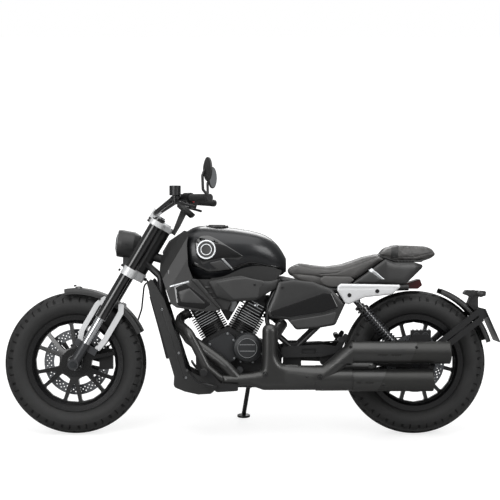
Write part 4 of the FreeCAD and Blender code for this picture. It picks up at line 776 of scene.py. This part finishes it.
# Louvred panels: black plastic sheets that close the machine's sides between the shrouds and the mid covers,
# each with three dark louvres.
bm = bmesh.new()
for side in (-1, 1):
    plate(bm, [(540, 700, 4), (640, 700, 4), (707, 600, 4), (690, 566, 6), (664, 563, 4)], flat(side * 127),
          flat(side * 121), 20.0, (1.0,))
    for x, z in ((586, 668), (603, 645), (620, 622)):
        plate(bm, [(x, z, 2), (x + 52, z, 2), (x + 46, z - 8, 2), (x + 6, z - 8, 2)],
              crowned(side, 126.5, 5, 2.0, 0.9), flat(side * 126.5), 20.0, (1.0, 3.0), 1)
make("louvred_panels", bm, [grained_plastic, dark_trim], "chassis")

# Headstock moulding: a black plastic shell round the steering head, in the same grain as the covers. Two bright
# screws hold its near side.
bm = bmesh.new()
plate(bm, [(424, 872, 10), (486, 914, 6), (500, 860, 10), (470, 776, 10), (404, 776, 10), (394, 822, 10)],
      crowned(-1, 30, 6), crowned(1, 30, 6), 14.0)
for z in (800, 848):
    screw(bm, (446, -35.6, z), (0, -1, 0), 5, 3.5, 1)
make("headstock_moulding", bm, [grained_plastic, bright_trim], "chassis")

# Side panels: satin graphite mouldings, screwed to the frame, with a gloss black inlay under a creased brow and
# a dark lower facet. The satin spreads the sky's light evenly over each face.
panel_satin = mottled("satin_graphite_moulding", "#353535", "#3d3d3d", 0.4, 0.32, 0.42, 90, 0.7, 0.02)
panel_y, inlay_y = 132, 136


def creased(side):
    """Outer face that folds outward along the brow line and slopes back above and below it."""
    def face(x, z, depth):
        above = (z - (566 + (x - 866) * 0.353)) / 1.06
        rise = 13 - (0.07 * above if above > 0 else -0.02 * above)
        return side * (panel_y + max(4.0, rise) * (1 - 0.6 * math.exp(-depth / 6)))
    return face


bm = bmesh.new()
for side in (-1, 1):
    plate(bm, [(918, 688, 8), (986, 697, 20), (1071, 688, 20), (1156, 656, 14), (1214, 590, 8), (1170, 496, 20),
               (1090, 482, 30), (995, 475, 20), (958, 520, 12), (880, 528, 16), (864, 556, 10), (905, 650, 20)],
          creased(side), flat(side * panel_y), 11.0)
    plate(bm, [(876, 558, 6), (1116, 641, 14), (1152, 640, 12), (1184, 572, 8), (1120, 550, 20), (960, 527, 14),
               (884, 538, 8)], crowned(side, 143, 2.0, 1.5, 0.9), flat(side * inlay_y), material=1)
    plate(bm, [(962, 516, 6), (1120, 541, 20), (1176, 556, 6), (1162, 502, 12), (1090, 489, 20), (1000, 483, 12)],
          crowned(side, 142.6, 2.2, 1.5, 0.9), flat(side * inlay_y), material=2)
    screw(bm, (934, side * 143, 664), (0, side, 0), 5.5, 3, 3)
make("side_panel_mouldings", bm, [panel_satin, gloss_black, dark_trim, powder_coat], "chassis", ("side_panels",))

# Radiator covers: the plastic plates stay as built. Zinc-plated screws hold them, and a raised rib runs down the
# front edge.
bm = bmesh.new()
for side in (-1, 1):
    for x, z in ((398, 566), (473, 372), (505, 262)):
        screw(bm, (x, side * 145, z), (0, side, 0), 5.5, 3)
    plate(bm, [(386, 590, 3), (394, 592, 3), (497, 262, 3), (489, 259, 3)], crowned(side, 144.6, 2.0, 1.2, 0.9),
          flat(side * 144), 20.0, (0.7, 2.0), 1)
make("radiator_cover_trim", bm, [bright_steel, grained_plastic], "chassis")


# Exhaust: ceramic-coated steel tube. A pressed shield wraps the headers where they meet, a chamber parts into two
# runs that feed the cans, and screws hold the slotted shields. The coat is matt, with broad grey lights.
exhaust_y = -215
ceramic_coat = mottled("matt_ceramic_coat", "#434343", "#4c4c4b", 0.8, 0.28, 0.38, 80, 0.8, 0.05)
dress(ceramic_coat, "headers", "silencer_shields")
can_coat = mottled("black_ceramic_coat", "#383838", "#41413f", 0.75, 0.34, 0.46, 80, 0.8, 0.05)
dress(can_coat, "silencers")


def smooth_path(corners):
    """Points along 3-D corners, 7 mm apart in bends; a corner's fourth value is the radius that rounds it."""
    points = []
    for i, corner in enumerate(corners):
        spot = Vector(corner[:3])
        if len(corner) == 3:
            points.append(spot)
            continue
        radius = corner[3]
        back = (Vector(corners[i - 1][:3]) - spot).normalized()
        ahead = (Vector(corners[i + 1][:3]) - spot).normalized()
        half = back.angle(ahead) / 2
        centre = spot + (back + ahead).normalized() * radius / math.sin(half)
        start = spot + back * radius / math.tan(half) - centre
        end = spot + ahead * radius / math.tan(half) - centre
        count = max(4, round(radius * start.angle(end) / 7.0))
        points += [centre + start.slerp(end, k / count) for k in range(count + 1)]
    return points


def skin(bm, rings, material=0):
    """Closed surface over a run of rings."""
    for low, high in zip(rings, rings[1:]):
        for k in range(len(low)):
            bm.faces.new((low[k], low[k - 1], high[k - 1], high[k])).material_index = material
    for ring in (rings[0], rings[-1]):
        bm.faces.new(ring).material_index = material


def tube(bm, points, radius, sides=24, material=0):
    """Closed round tube along points; radius is a number or a rule of the share of the run."""
    runs = [0.0]
    for a, b in zip(points, points[1:]):
        runs.append(runs[-1] + (b - a).length)
    across = (points[1] - points[0]).orthogonal()
    rings = []
    for i, spot in enumerate(points):
        ahead = (points[min(i + 1, len(points) - 1)] - points[max(i - 1, 0)]).normalized()
        across = (across - ahead * across.dot(ahead)).normalized()
        other = ahead.cross(across)
        reach = radius(runs[i] / runs[-1]) if callable(radius) else radius
        turns = [math.tau * k / sides for k in range(sides)]
        rings.append([bm.verts.new(spot + (across * math.cos(turn) + other * math.sin(turn)) * reach)
                      for turn in turns])
    skin(bm, rings, material)


def slot_ring(bm, x, low, high, radius, steps=12):
    """Upright slot-shaped ring across the exhaust's run, round the lines Z low and Z high."""
    ring = []
    for k in range(2 * steps + 2):
        turn = math.pi * (k - (k > steps)) / steps
        z = high if k <= steps else low
        ring.append(bm.verts.new((x, exhaust_y + radius * math.cos(turn), z + radius * math.sin(turn))))
    return ring


def pillow(side, half):
    """Face of a hollow pressing with a round edge; half is its half thickness, as a rule of x."""
    def face(x, z, depth):
        rise = min(1.0, depth / half(x))
        return exhaust_y + side * half(x) * max(0.04, math.sqrt(1 - (1 - rise) ** 2))
    return face


def shield_half(x):
    """Half thickness of the header shield, wider towards the chamber."""
    return float(np.interp(x, (940, 1070), (31, 50.6)))


def web_half(x):
    """Half thickness of the web between the two silencer runs."""
    return 42.0


bm = bmesh.new()
tube(bm, smooth_path([(474, -124, 500), (522, -203, 462, 40), (600, exhaust_y, 312, 60), (664, exhaust_y, 258, 60),
                      (740, exhaust_y, 258)]), lambda share: 25.5 - 3.5 * math.exp(-share / 0.015))
tube(bm, smooth_path([(934, -90, 500), (884, -207, 470, 30), (878, exhaust_y, 400)]), 25.0)
plate(bm, [(662, 283, 12), (730, 284, 40), (797, 291, 30), (838, 300, 16), (843, 360, 60), (844, 505, 30),
           (911, 505, 32), (911, 370, 60), (930, 323, 40), (1135, 322, 10), (1135, 214, 10), (850, 213, 30),
           (790, 234, 30), (720, 232, 40), (662, 233, 12)],
      pillow(-1, shield_half), pillow(1, shield_half), 10.0, (0.6, 2.0, 4.5, 9.0, 16.0, 24.0))
chamber = 51.5
upper_run = ((1100, 271), (1110, 272), (1154, 310), (1198, 349), (1240, 386))
lower_run = ((1100, 262), (1240, 263))
skin(bm, [slot_ring(bm, x, 262, 272, radius) for x, radius in ((1078.5, 49), (1079.5, chamber), (1104, chamber))])
for run in (upper_run, lower_run):
    skin(bm, [slot_ring(bm, x, z - 0.5, z + 0.5, chamber, 24) for x, z in run])
plate(bm, [(1150, 330, 4), (1200, 352, 8), (1330, 352, 8), (1349, 330, 10), (1349, 306, 10), (1330, 296, 8),
           (1150, 296, 4)], pillow(-1, web_half), pillow(1, web_half), 14.0)
for x, y, z in ((857, -245.5, 285), (1097, -266, 274)):
    lathe(bm, (x, y, z), (0, -1, 0), (1, 0, 0), [(0, 9.5), (2.5, 9.5), (2.5, 12), (0, 12.8)], 32, 1, True)
    screw(bm, (x, y, z), (0, -1, 0), 6.5, 3, 1)
for x, y, z in ((1229, -262, 409), (1040, -256, 276), (1520, -258, 405), (1376, -258, 240)):
    screw(bm, (x, y, z), (0, -1, 0), 6.5, 6, 1)
make("exhaust_sleeves", bm, [ceramic_coat, powder_coat], "chassis", ("collector",), 50)


# Seats: black leatherette over foam, swelled as cloth round the pad and sewn down along channels. The rider's
# pad sits on a moulded pan, and a strap crosses the pillion pad. The embossed grain breaks up its gloss, and its
# grey sheen is painted: the colour is a mid grey, lighter than black leatherette.
# Painted sheen: the leatherette's tones are a mid grey, lighter than black, for the light that falls on the seats.
leatherette_painted_sheen = mottled("black_leatherette", "#434241", "#4e4d4c", 0.0, 0.42, 0.56, 40, 2.2, 0.22)
thread = mottled("black_sewing_thread", "#3a3938", "#454443", 0.0, 0.7, 0.85, 8, 0.5, 0.05)
pad_trim, ring_step, ring_count, squareness = 2.0, 7.0, 64, 3.6
swell_limit, voxel = 5.0, 4.5
channel_width, stitch_rise = 2.6, 3.6
stitch_pitch, stitch_length, thread_radius = 6.5, 3.6, 0.5


def pad(top, bottom, plan):
    """Lofted cushion between side lines of (x, z) and a plan line of (x, half width), before it is swelled."""
    bm = bmesh.new()
    start, end = top[0][0] + pad_trim, top[-1][0] - pad_trim
    total = round((end - start) / ring_step)
    rings = []
    for i in range(total + 1):
        x = start + (end - start) * i / total
        high, low, half = (np.interp(x, *zip(*line)) for line in (top, bottom, plan))
        middle, rise = (high + low) / 2, max(2, (high - low) / 2 - pad_trim)
        ring = []
        for k in range(ring_count):
            c, s = math.cos(math.tau * k / ring_count), math.sin(math.tau * k / ring_count)
            out, up = (math.copysign(abs(part) ** (2 / squareness), part) for part in (c, s))
            ring.append(bm.verts.new((x, (half - pad_trim) * out, middle + rise * up)))
        rings.append(ring)
    skin(bm, rings)
    return bm


def swelled(bm):
    """Remeshes a pad and swells it as cloth under pressure, with each point's move capped."""
    mesh = bpy.data.meshes.new("pad_form")
    bmesh.ops.recalc_face_normals(bm, faces=bm.faces)
    bm.transform(Matrix.Scale(0.001, 4))
    bm.to_mesh(mesh)
    bm.free()
    form = bpy.data.objects.new("pad_form", mesh)
    bpy.context.scene.collection.objects.link(form)
    remesh = form.modifiers.new("even", "REMESH")
    remesh.mode = "VOXEL"
    remesh.voxel_size = voxel / 1000
    graph = bpy.context.evaluated_depsgraph_get()
    even = bpy.data.meshes.new_from_object(form.evaluated_get(graph))
    form.modifiers.clear()
    form.data = even
    before = np.empty(len(even.vertices) * 3)
    even.vertices.foreach_get("co", before)
    after = before.copy()
    cloth = form.modifiers.new("foam", "CLOTH")
    cloth.settings.use_pressure = True
    cloth.settings.uniform_pressure_force = 4.0
    cloth.settings.effector_weights.gravity = 0.0
    cloth.point_cache.frame_start = 1
    cloth.point_cache.frame_end = 20
    for frame_number in range(1, 21):
        bpy.context.scene.frame_set(frame_number)
    settled = form.evaluated_get(bpy.context.evaluated_depsgraph_get())
    settled.data.vertices.foreach_get("co", after)
    form.modifiers.clear()
    bpy.context.scene.frame_set(1)
    before, after = before.reshape(-1, 3), after.reshape(-1, 3)
    move = after - before
    far = np.maximum(np.linalg.norm(move, axis=1), 1e-9)
    after = before + move * np.minimum(1.0, swell_limit / 1000 / far)[:, None]
    even.vertices.foreach_set("co", after.ravel())
    fresh = bmesh.new()
    fresh.from_mesh(even)
    fresh.transform(Matrix.Scale(1000, 4))
    bpy.data.objects.remove(form)
    bmesh.ops.smooth_vert(fresh, verts=fresh.verts, factor=0.5, use_axis_x=True, use_axis_y=True,
                          use_axis_z=True)
    bmesh.ops.subdivide_edges(fresh, edges=fresh.edges, cuts=1, use_grid_fill=True, smooth=1.0)
    fresh.normal_update()
    return fresh


def sewn(bm, line, depth, side):
    """Presses a sewn channel into a pad's side along an (x, z) line."""
    corners = np.array(line)
    run = corners[1:] - corners[:-1]
    moves = []
    for vert in bm.verts:
        if vert.co.y * side < 20:
            continue
        offset = np.array((vert.co.x, vert.co.z)) - corners[:-1]
        share = np.clip((offset * run).sum(1) / (run * run).sum(1), 0, 1)
        gap = np.linalg.norm(offset - share[:, None] * run, axis=1).min()
        if gap < channel_width * 3:
            moves.append((vert, vert.co - vert.normal * depth * math.exp(-(gap / channel_width) ** 2)))
    for vert, spot in moves:
        vert.co = spot


def stitched(bm, tree, line, side):
    """Row of thread stitches above an (x, z) line on a pad's side."""
    raised = [Vector((x, z + stitch_rise)) for x, z in line]
    for a, b in zip(raised, raised[1:]):
        ahead = (b - a).normalized()
        for k in range(int((b - a).length / stitch_pitch)):
            ends = []
            for along in (1, 1 + stitch_length):
                spot = a + ahead * (k * stitch_pitch + along)
                met = tree.ray_cast((spot.x, side * 300, spot.y), (0, -side, 0))
                if met[0]:
                    ends.append(met[0] + met[1] * 0.2)
            if len(ends) == 2 and (ends[1] - ends[0]).length < 8:
                middle = (ends[0] + ends[1]) / 2 + Vector((0, side * 0.3, 0))
                tube(bm, [ends[0], middle, ends[1]], thread_radius, 6)


def seat(name, node, form, lines, depth):
    """Padded seat with sewn channels and stitching; returns its surface, to lay a strap on."""
    bm = swelled(form)
    for side in (-1, 1):
        for line in lines:
            sewn(bm, line, depth, side)
    bm.normal_update()
    tree = BVHTree.FromBMesh(bm)
    make(name + "_pad", bm, leatherette_painted_sheen, "chassis", (node,), 60)
    bm = bmesh.new()
    for side in (-1, 1):
        for line in lines:
            stitched(bm, tree, line, side)
    make(name + "_stitching", bm, thread, "chassis")
    return tree


rider_form = pad(
    [(958, 744), (966, 756), (978, 764), (1000, 771), (1040, 766), (1074, 760), (1135, 754), (1204, 764),
     (1250, 779), (1300, 797), (1368, 812), (1384, 803), (1392, 793)],
    [(958, 738), (966, 722), (980, 714), (1000, 711), (1060, 704), (1150, 696), (1256, 695), (1330, 747),
     (1392, 790)],
    [(958, 62), (1000, 76), (1040, 86), (1100, 110), (1180, 134), (1240, 139), (1300, 135), (1360, 116),
     (1392, 104)])
seat("rider_seat", "seat_rider", rider_form,
     [[(1001, 766), (1064, 747), (1193, 741), (1290, 775), (1366, 801)],
      [(1103, 722), (1175, 727), (1283, 770), (1350, 797)]], 2.4)


def pan_side(side):
    """Side face of the rider's seat pan, which widens rearward to a limit."""
    return lambda x, z, depth: side * (min(96, 60 + (x - 965) * 0.8) - 6 * math.exp(-depth / 5))


bm = bmesh.new()
plate(bm, [(974, 724, 6), (1120, 712, 10), (1240, 702, 10), (1200, 664.4, 10), (1110, 664.4, 20), (1060, 682, 20),
           (992, 702, 10)], pan_side(-1), pan_side(1), 12.0)
make("rider_seat_pan", bm, leatherette_painted_sheen, "chassis")
bm = bmesh.new()
for side in (-1, 1):
    plate(bm, [(1096, 700, 12), (1118, 676, 20), (1150, 666, 20), (1212, 666, 14), (1256, 697, 4), (1240, 712, 10),
               (1120, 714, 20)], crowned(side, 126.6, 4.6, 4.0, 0.9), flat(side * 126.6))
make("rider_seat_skirts", bm, leatherette_painted_sheen, "chassis")

bm = bmesh.new()
base_sides = [lambda x, z, depth, side=side: side * (84 - 4 * math.exp(-depth / 3)) for side in (-1, 1)]
plate(bm, [(1356, 800, 4), (1378, 814, 6), (1402, 801, 10), (1446, 784, 20), (1540, 784, 10), (1584, 792, 4),
           (1560, 776.5, 8), (1440, 776.5, 20), (1398, 791, 6), (1392, 789, 4)], *base_sides, 14.0)
make("pillion_seat_base", bm, grained_plastic, "chassis")
pillion_form = pad(
    [(1374, 816), (1390, 830), (1406, 841), (1453, 850), (1520, 848), (1591, 845), (1616, 832), (1628, 816)],
    [(1374, 808), (1398, 795), (1440, 777), (1530, 777), (1580, 786), (1612, 797), (1628, 803)],
    [(1374, 95), (1440, 94), (1560, 84), (1600, 70), (1628, 56)])
pillion_tree = seat("pillion_seat", "seat_pillion", pillion_form,
                    [[(1392, 806), (1440, 797), (1530, 800), (1610, 818)]], 2.2)

# Pillion strap: a flat band of black plastic that lies over the pad and is bolted to the base on each side. It
# is laid on the swelled pad's own surface, so it follows the foam.
strap_x, strap_steps = 1444, 48
bm = bmesh.new()
rings = []
for k in range(strap_steps + 1):
    turn = math.pi * (k / strap_steps - 0.04) * 1.085
    way = Vector((0, math.cos(turn), math.sin(turn)))
    middle_x = strap_x - 6 * (1 - math.sin(max(0.0, min(math.pi, turn))))
    ring = []
    for x, lift in ((-16, -1.5), (-16, 1.6), (-13, 2.6), (13, 2.6), (16, 1.6), (16, -1.5)):
        origin = Vector((middle_x + x, 0, 806))
        met = pillion_tree.ray_cast(origin + way * 300, -way)[0]
        ring.append(bm.verts.new((met or origin + way * 60) + way * lift))
    rings.append(ring)
skin(bm, rings)
make("pillion_strap", bm, grained_plastic, "chassis", sharp=60)

# Tail cover: a satin graphite moulding like the side panels, with a silver chevron and a dark flash on each
# side, both glued on.
tail_half = [(1200, 126), (1400, 124), (1470, 112), (1540, 96), (1576, 76), (1600, 60)]


def tail_side(side):
    """Side face of the tail cover, rounded over at its edges."""
    return lambda x, z, depth: side * (np.interp(x, *zip(*tail_half)) - 9 * math.exp(-depth / 6))


bm = bmesh.new()
plate(bm, [(1244, 677.8, 4), (1260, 694, 0), (1396, 789.6, 4), (1440, 775, 20), (1530, 775, 20), (1576, 762, 10),
           (1487, 677.8, 10)], tail_side(-1), tail_side(1), 12.0)
bm.normal_update()
tail_tree = BVHTree.FromBMesh(bm)
make("tail_moulding", bm, panel_satin, "chassis", ("tail_cover",))
bm = bmesh.new()
for side in (-1, 1):
    draped(bm, [(1266, 689, 1), (1322, 737, 1), (1370, 700, 1), (1350, 684, 1)], tail_tree, side, 0.8)
    draped(bm, [(1318, 741, 1), (1334, 750, 1), (1392, 700, 1), (1376, 700, 1)], tail_tree, side, 1.4, material=1)
make("tail_flashes", bm, [dark_trim, bright_trim], "chassis")

# Frame plates: forged carriers for the tail, silver-painted like the fork's clamps, with a groove below the top
# edge and two large screws each.
plate_y, groove_z = 145.6, 661


def stepped(side):
    """Outer face of a frame plate: crowned, with a groove below its top edge."""
    def face(x, z, depth):
        groove = 2.2 * math.exp(-((z - groove_z) / 3.0) ** 2) * (1 - math.exp(-depth / 8))
        return side * (plate_y + 12 * (1 - 0.5 * math.exp(-depth / 3.5)) - groove)
    return face


bm = bmesh.new()
for side in (-1, 1):
    plate(bm, [(1178, 650, 8), (1180, 671, 6), (1195, 681, 6), (1472, 676, 8), (1421, 633, 14), (1301, 620, 14),
               (1259, 603, 8), (1229, 588, 6), (1214, 594, 6)], stepped(side), flat(side * plate_y), 5.0)
    for x, z in ((1232, 630), (1356, 648)):
        screw(bm, (x, side * 156.4, z), (0, side, 0), 9, 5, 1)
make("frame_plate_castings", bm, [silver_paint, powder_coat], "chassis", ("frame_plates",))


# Shock absorbers: black springs over bright dampers between forged eyes with rubber bushes, bolted to frame and
# swingarm. The spring steel's thin coat lets a dull metal light run along each coil.
spring_steel = mottled("black_spring_steel", "#3c3d40", "#48494c", 0.7, 0.24, 0.34, 20, 0.8, 0.02)
shock_top, shock_foot = Vector((1266, 0, 604)), Vector((1470, 0, 370))
shock_length = (shock_foot - shock_top).length
shock_run = (shock_foot - shock_top) / shock_length
shock_out = Vector((-shock_run.z, 0, shock_run.x))
coil_start, coil_pitch, coil_radius, wire_radius = 58, 14.0, 22.5, 3.7
coil_steps = 14
bm = bmesh.new()
for side in (-1, 1):
    top = shock_top + Vector((0, side * 135.5, 0))
    low = top + shock_run * shock_length
    lathe(bm, top, shock_run, shock_out,
          [(6, 0), (6, 9.5), (38, 9.5), (40, 20), (42, 24), (52, 24), (54, 21), (54, 17), (shock_length - 62, 17),
           (shock_length - 62, 22), (shock_length - 60, 24), (shock_length - 48, 24), (shock_length - 46, 20),
           (shock_length - 46, 9.5), (shock_length - 6, 9.5), (shock_length - 6, 0)], 40)
    lathe(bm, top, shock_run, shock_out,
          [(53, 0), (53, 13), (130, 13), (131, 10), (shock_length - 61, 10), (shock_length - 61, 0)], 32, 1)
    for spot, radius in ((top, 16), (low, 17)):
        lathe(bm, spot, (0, 1, 0), (1, 0, 0),
              [(-9, 6), (-9, radius - 1), (-8, radius), (8, radius), (9, radius - 1), (9, 6)], 40, 0, True)
        screw(bm, spot + Vector((0, side * 8, 0)), (0, side, 0), 8, 6, 1)
    coil = []
    for k in range(int((shock_length - 120) / coil_pitch * coil_steps) + 1):
        turn = math.tau * k / coil_steps
        out = shock_out * math.cos(turn) + Vector((0, math.sin(turn), 0))
        coil.append(top + shock_run * (coil_start + coil_pitch * k / coil_steps) + out * coil_radius)
    tube(bm, coil, wire_radius, 8, 2)
make("coil_shocks", bm, [gloss_black, bright_steel, spring_steel], "chassis", ("shock_absorbers",))

# Headlamp: a silvered plastic dish with a projector, behind a clear convex lens that a bright ring clamps in
# the shell. The dish mirrors the studio, and the glass adds one sharp window light.
clear_glass = new_finish("clear_lamp_glass", "#f4f8fa", 0.0, 0.03, Transmission_Weight=1.0, IOR=1.45)
silvered = mottled("silvered_reflector", "#d6d8da", "#e6e8e9", 1.0, 0.08, 0.16, 20, 1.0, 0.005)
lamp_base, lamp_axis, lamp_up = Vector((205, 0, 860)), Vector((1, 0, -0.1)).normalized(), Vector((0.1, 0, 1))
lamp_seat = (lamp_base, lamp_axis, lamp_up)
bm = bmesh.new()
lathe(bm, *lamp_seat, [(-26, 0), (-25.4, 12), (-23.8, 28), (-20, 42), (-14.6, 51.7), (-13, 51.7), (-18, 41),
                       (-21.8, 27), (-23.4, 12), (-24, 0)], 72)
make("headlamp_glass", bm, clear_glass, "steering", ("headlamp_lens",))
bm = bmesh.new()
lathe(bm, *lamp_seat, [(-12.6, 51.4), (-6, 45), (-3, 32), (-2.4, 0)], 72)
lathe(bm, *lamp_seat, [(-1.2, 0), (-1.2, 51.4), (-12.6, 51.4)], 72)
lathe(bm, *lamp_seat, [(-13.6, 52.2), (-15.6, 53), (-16.2, 56), (-15.6, 59.2), (-13.6, 60.2)], 72, 1, True)
lathe(bm, *lamp_seat, [(-2, 21), (-12, 21), (-12, 18), (-14, 16), (-16, 8), (-16.4, 0)], 48, 2)
for side in (-1, 1):
    screw(bm, lamp_base + lamp_axis * 30 + Vector((0, side * 60, 0)), (0, side, 0), 5, 3, 3)
make("headlamp_reflector", bm, [silvered, bright_trim, gloss_black, powder_coat], "steering")

# Grips: moulded sleeves of the tyres' rubber, pushed over the bar's ends. Fine ribs run round them between
# smooth ends.
grip_bore, grip_radius, rib_floor, rib_pitch = 11.05, 16.4, 15.4, 6
grip_profile = [(0, grip_bore), (0, 14.5), (2, grip_radius)]
for k in range(19):
    grip_profile += [(run + rib_pitch * k, out) for run, out in (
        (5, grip_radius), (5.6, rib_floor), (7.4, rib_floor), (8, grip_radius))]
grip_profile += [(123, grip_radius), (125, 14.5), (125, grip_bore)]
bm = bmesh.new()
for side in (-1, 1):
    tip, root = Vector((608, side * 400, 1056)), Vector((454, side * 195, 1062))
    lathe(bm, tip, root - tip, (0, 0, 1), grip_profile, 32, 0, True)
make("ribbed_grips", bm, rubber, "steering", ("grips",))

# Controls: a red stop button, the instrument's printed dial under a bezel, and silvered mirror glass in plastic
# rims. The mirrors show the white room, and the dial's ticks are raised so that they catch the light.
red_button = new_finish("red_button_plastic", "#a8161c", 0.0, 0.35)
dial_face = mottled("printed_dial_face", "#060607", "#0b0b0c", 0.0, 0.3, 0.4, 20, 0.5, 0.002)
mirror_glass = new_finish("mirror_glass", "#dfe3e6", 1.0, 0.03)
bm = bmesh.new()
button_way = Vector((0.62, -0.1, -0.78)).normalized()
lathe(bm, Vector((531, -299, 1059)) + button_way * 19, button_way, (0, 1, 0),
      [(0, 0), (0, 5.5), (4, 5.5), (6, 4.5), (6.6, 0)], 24)
dial_place = (Matrix.Translation((497, 0, 1012)) @ Matrix.Rotation(math.radians(41), 4, "Y")
              @ Matrix.Scale(-1, 4, (1, 0, 0)))
dial_seat = [dial_place.translation, dial_place.col[2].to_3d(), dial_place.col[0].to_3d()]
lathe(bm, *dial_seat, [(11.05, 0), (11.05, 42.6), (11.4, 42.6), (11.4, 0)], 64, 1)
lathe(bm, *dial_seat, [(11.4, 40), (13.6, 40.6), (13.6, 42.6), (11.4, 42.6)], 64, 2, True)
for k in range(37):
    tick = dial_place @ Matrix.Rotation(math.radians(45 + 7.5 * k), 4, "Z")
    block(bm, (31 if k % 4 == 0 else 34, -0.4, 11.3), (38, 0.4, 11.7), tick, 3)
block(bm, (-6, -0.7, 11.8), (31, 0.7, 12.4), dial_place @ Matrix.Rotation(math.radians(75), 4, "Z"), 0)
lathe(bm, *dial_seat, [(11.4, 4.5), (12.8, 4.5), (12.8, 0)], 24, 2)
for side in (-1, 1):
    mirror_seat = ((606, side * 424, 1178), (0.94, -side * 0.34, 0), (0, 0, 1))
    lathe(bm, *mirror_seat, [(5, 0), (5, 47.5), (6.9, 47.5), (6.9, 0)], 64, 4)
    lathe(bm, *mirror_seat, [(5, 47.6), (7.4, 47.6), (7.8, 49), (7.2, 50.6), (5, 51)], 64, 2, True)
make("control_details", bm, [red_button, dial_face, grained_plastic, bright_trim, mirror_glass], "steering")

# Front fixings: black screws through the ends of the mudguard stays, and a bent wire clip that guides the brake
# hose over the front mudguard.
stay_tree = search_tree("mudguard_stays")
bm = bmesh.new()
for side in (-1, 1):
    for x, z in ((114, 612), (181, 578), (-10, 402), (102, 409)):
        screw(bm, (x, surface_at(stay_tree, side, x, z), z), (0, side, 0), 6.5, 4)
    y = side * 18
    tube(bm, smooth_path([(-6, y, 655), (2, y, 668, 6), (24, y, 668, 6), (30, y, 655)]), 2.6, 12)
tube(bm, [Vector((-4, -22, 669)), Vector((-4, 22, 669))], 4.5, 16)
make("front_fixings", bm, powder_coat, "steering")

# Hanger slot plates: powder-coated steel plates behind the slots of the passenger footrests' hangers. They close
# the slots to the eye, as painted shade: a dark sheet where the slots show the shaded space behind them.
bm = bmesh.new()
for side in (-1, 1):
    plate(bm, [(1008, 400, 6), (1096, 400, 6), (1096, 362, 6), (1008, 362, 6)], flat(side * 143.4),
          flat(side * 141.6), 20.0, (1.0,))
make("hanger_slot_shade_plates", bm, powder_coat, "chassis")

# Rear caliper: a painted aluminium casting with two piston bosses, zinc-plated screws below them and a row of
# ribs on top.
bm = bmesh.new()
for x in (1536, 1576):
    lathe(bm, (x, -98, 446), (0, -1, 0), (1, 0, 0), [(0, 0), (0, 16), (4, 15), (5, 13), (3.5, 11), (3.5, 0)], 40)
    screw(bm, (x, -98.6, 424), (0, -1, 0), 4.5, 4, 1)
for k in range(5):
    block(bm, (1520 + 18 * k, -94, 469.5), (1524 + 18 * k, -70, 475))
make("rear_caliper_details", bm, [cover_grey, bright_steel], "chassis")

# Tail lamp, brake hose and number plate: the lens is clear-coated acrylic of so dark a red that it looks black
# when unlit. The hose is rubber, and the blank plate is coated like the frame.
red_lens = mottled("dark_red_lamp_lens", "#2c0406", "#3a0709", 0.0, 0.08, 0.14, 30, 4.0, 0.02, Coat_Weight=1.0)
dress(red_lens, "tail_lamp")
dress(rubber, "brake_hose")
dress(powder_coat, "number_plate")

# Peg sleeves: tubes of the tyres' rubber, pushed over the rider's footrests, with deep ribs round them for the
# boot to grip.
sleeve_profile = [(12, 13), (12, 15)]
for k in range(10):
    sleeve_profile += [(14 + 9 * k + run, out) for run, out in ((0, 16), (5.6, 16), (6.4, 14.2), (8.2, 14.2))]
sleeve_profile += [(104, 15), (104, 13)]
bm = bmesh.new()
for side in (-1, 1):
    lathe(bm, (588, side * 238, 297), (0, side, 0), (1, 0, 0), sleeve_profile, 32, 0, True)
make("peg_sleeves", bm, rubber, "chassis")
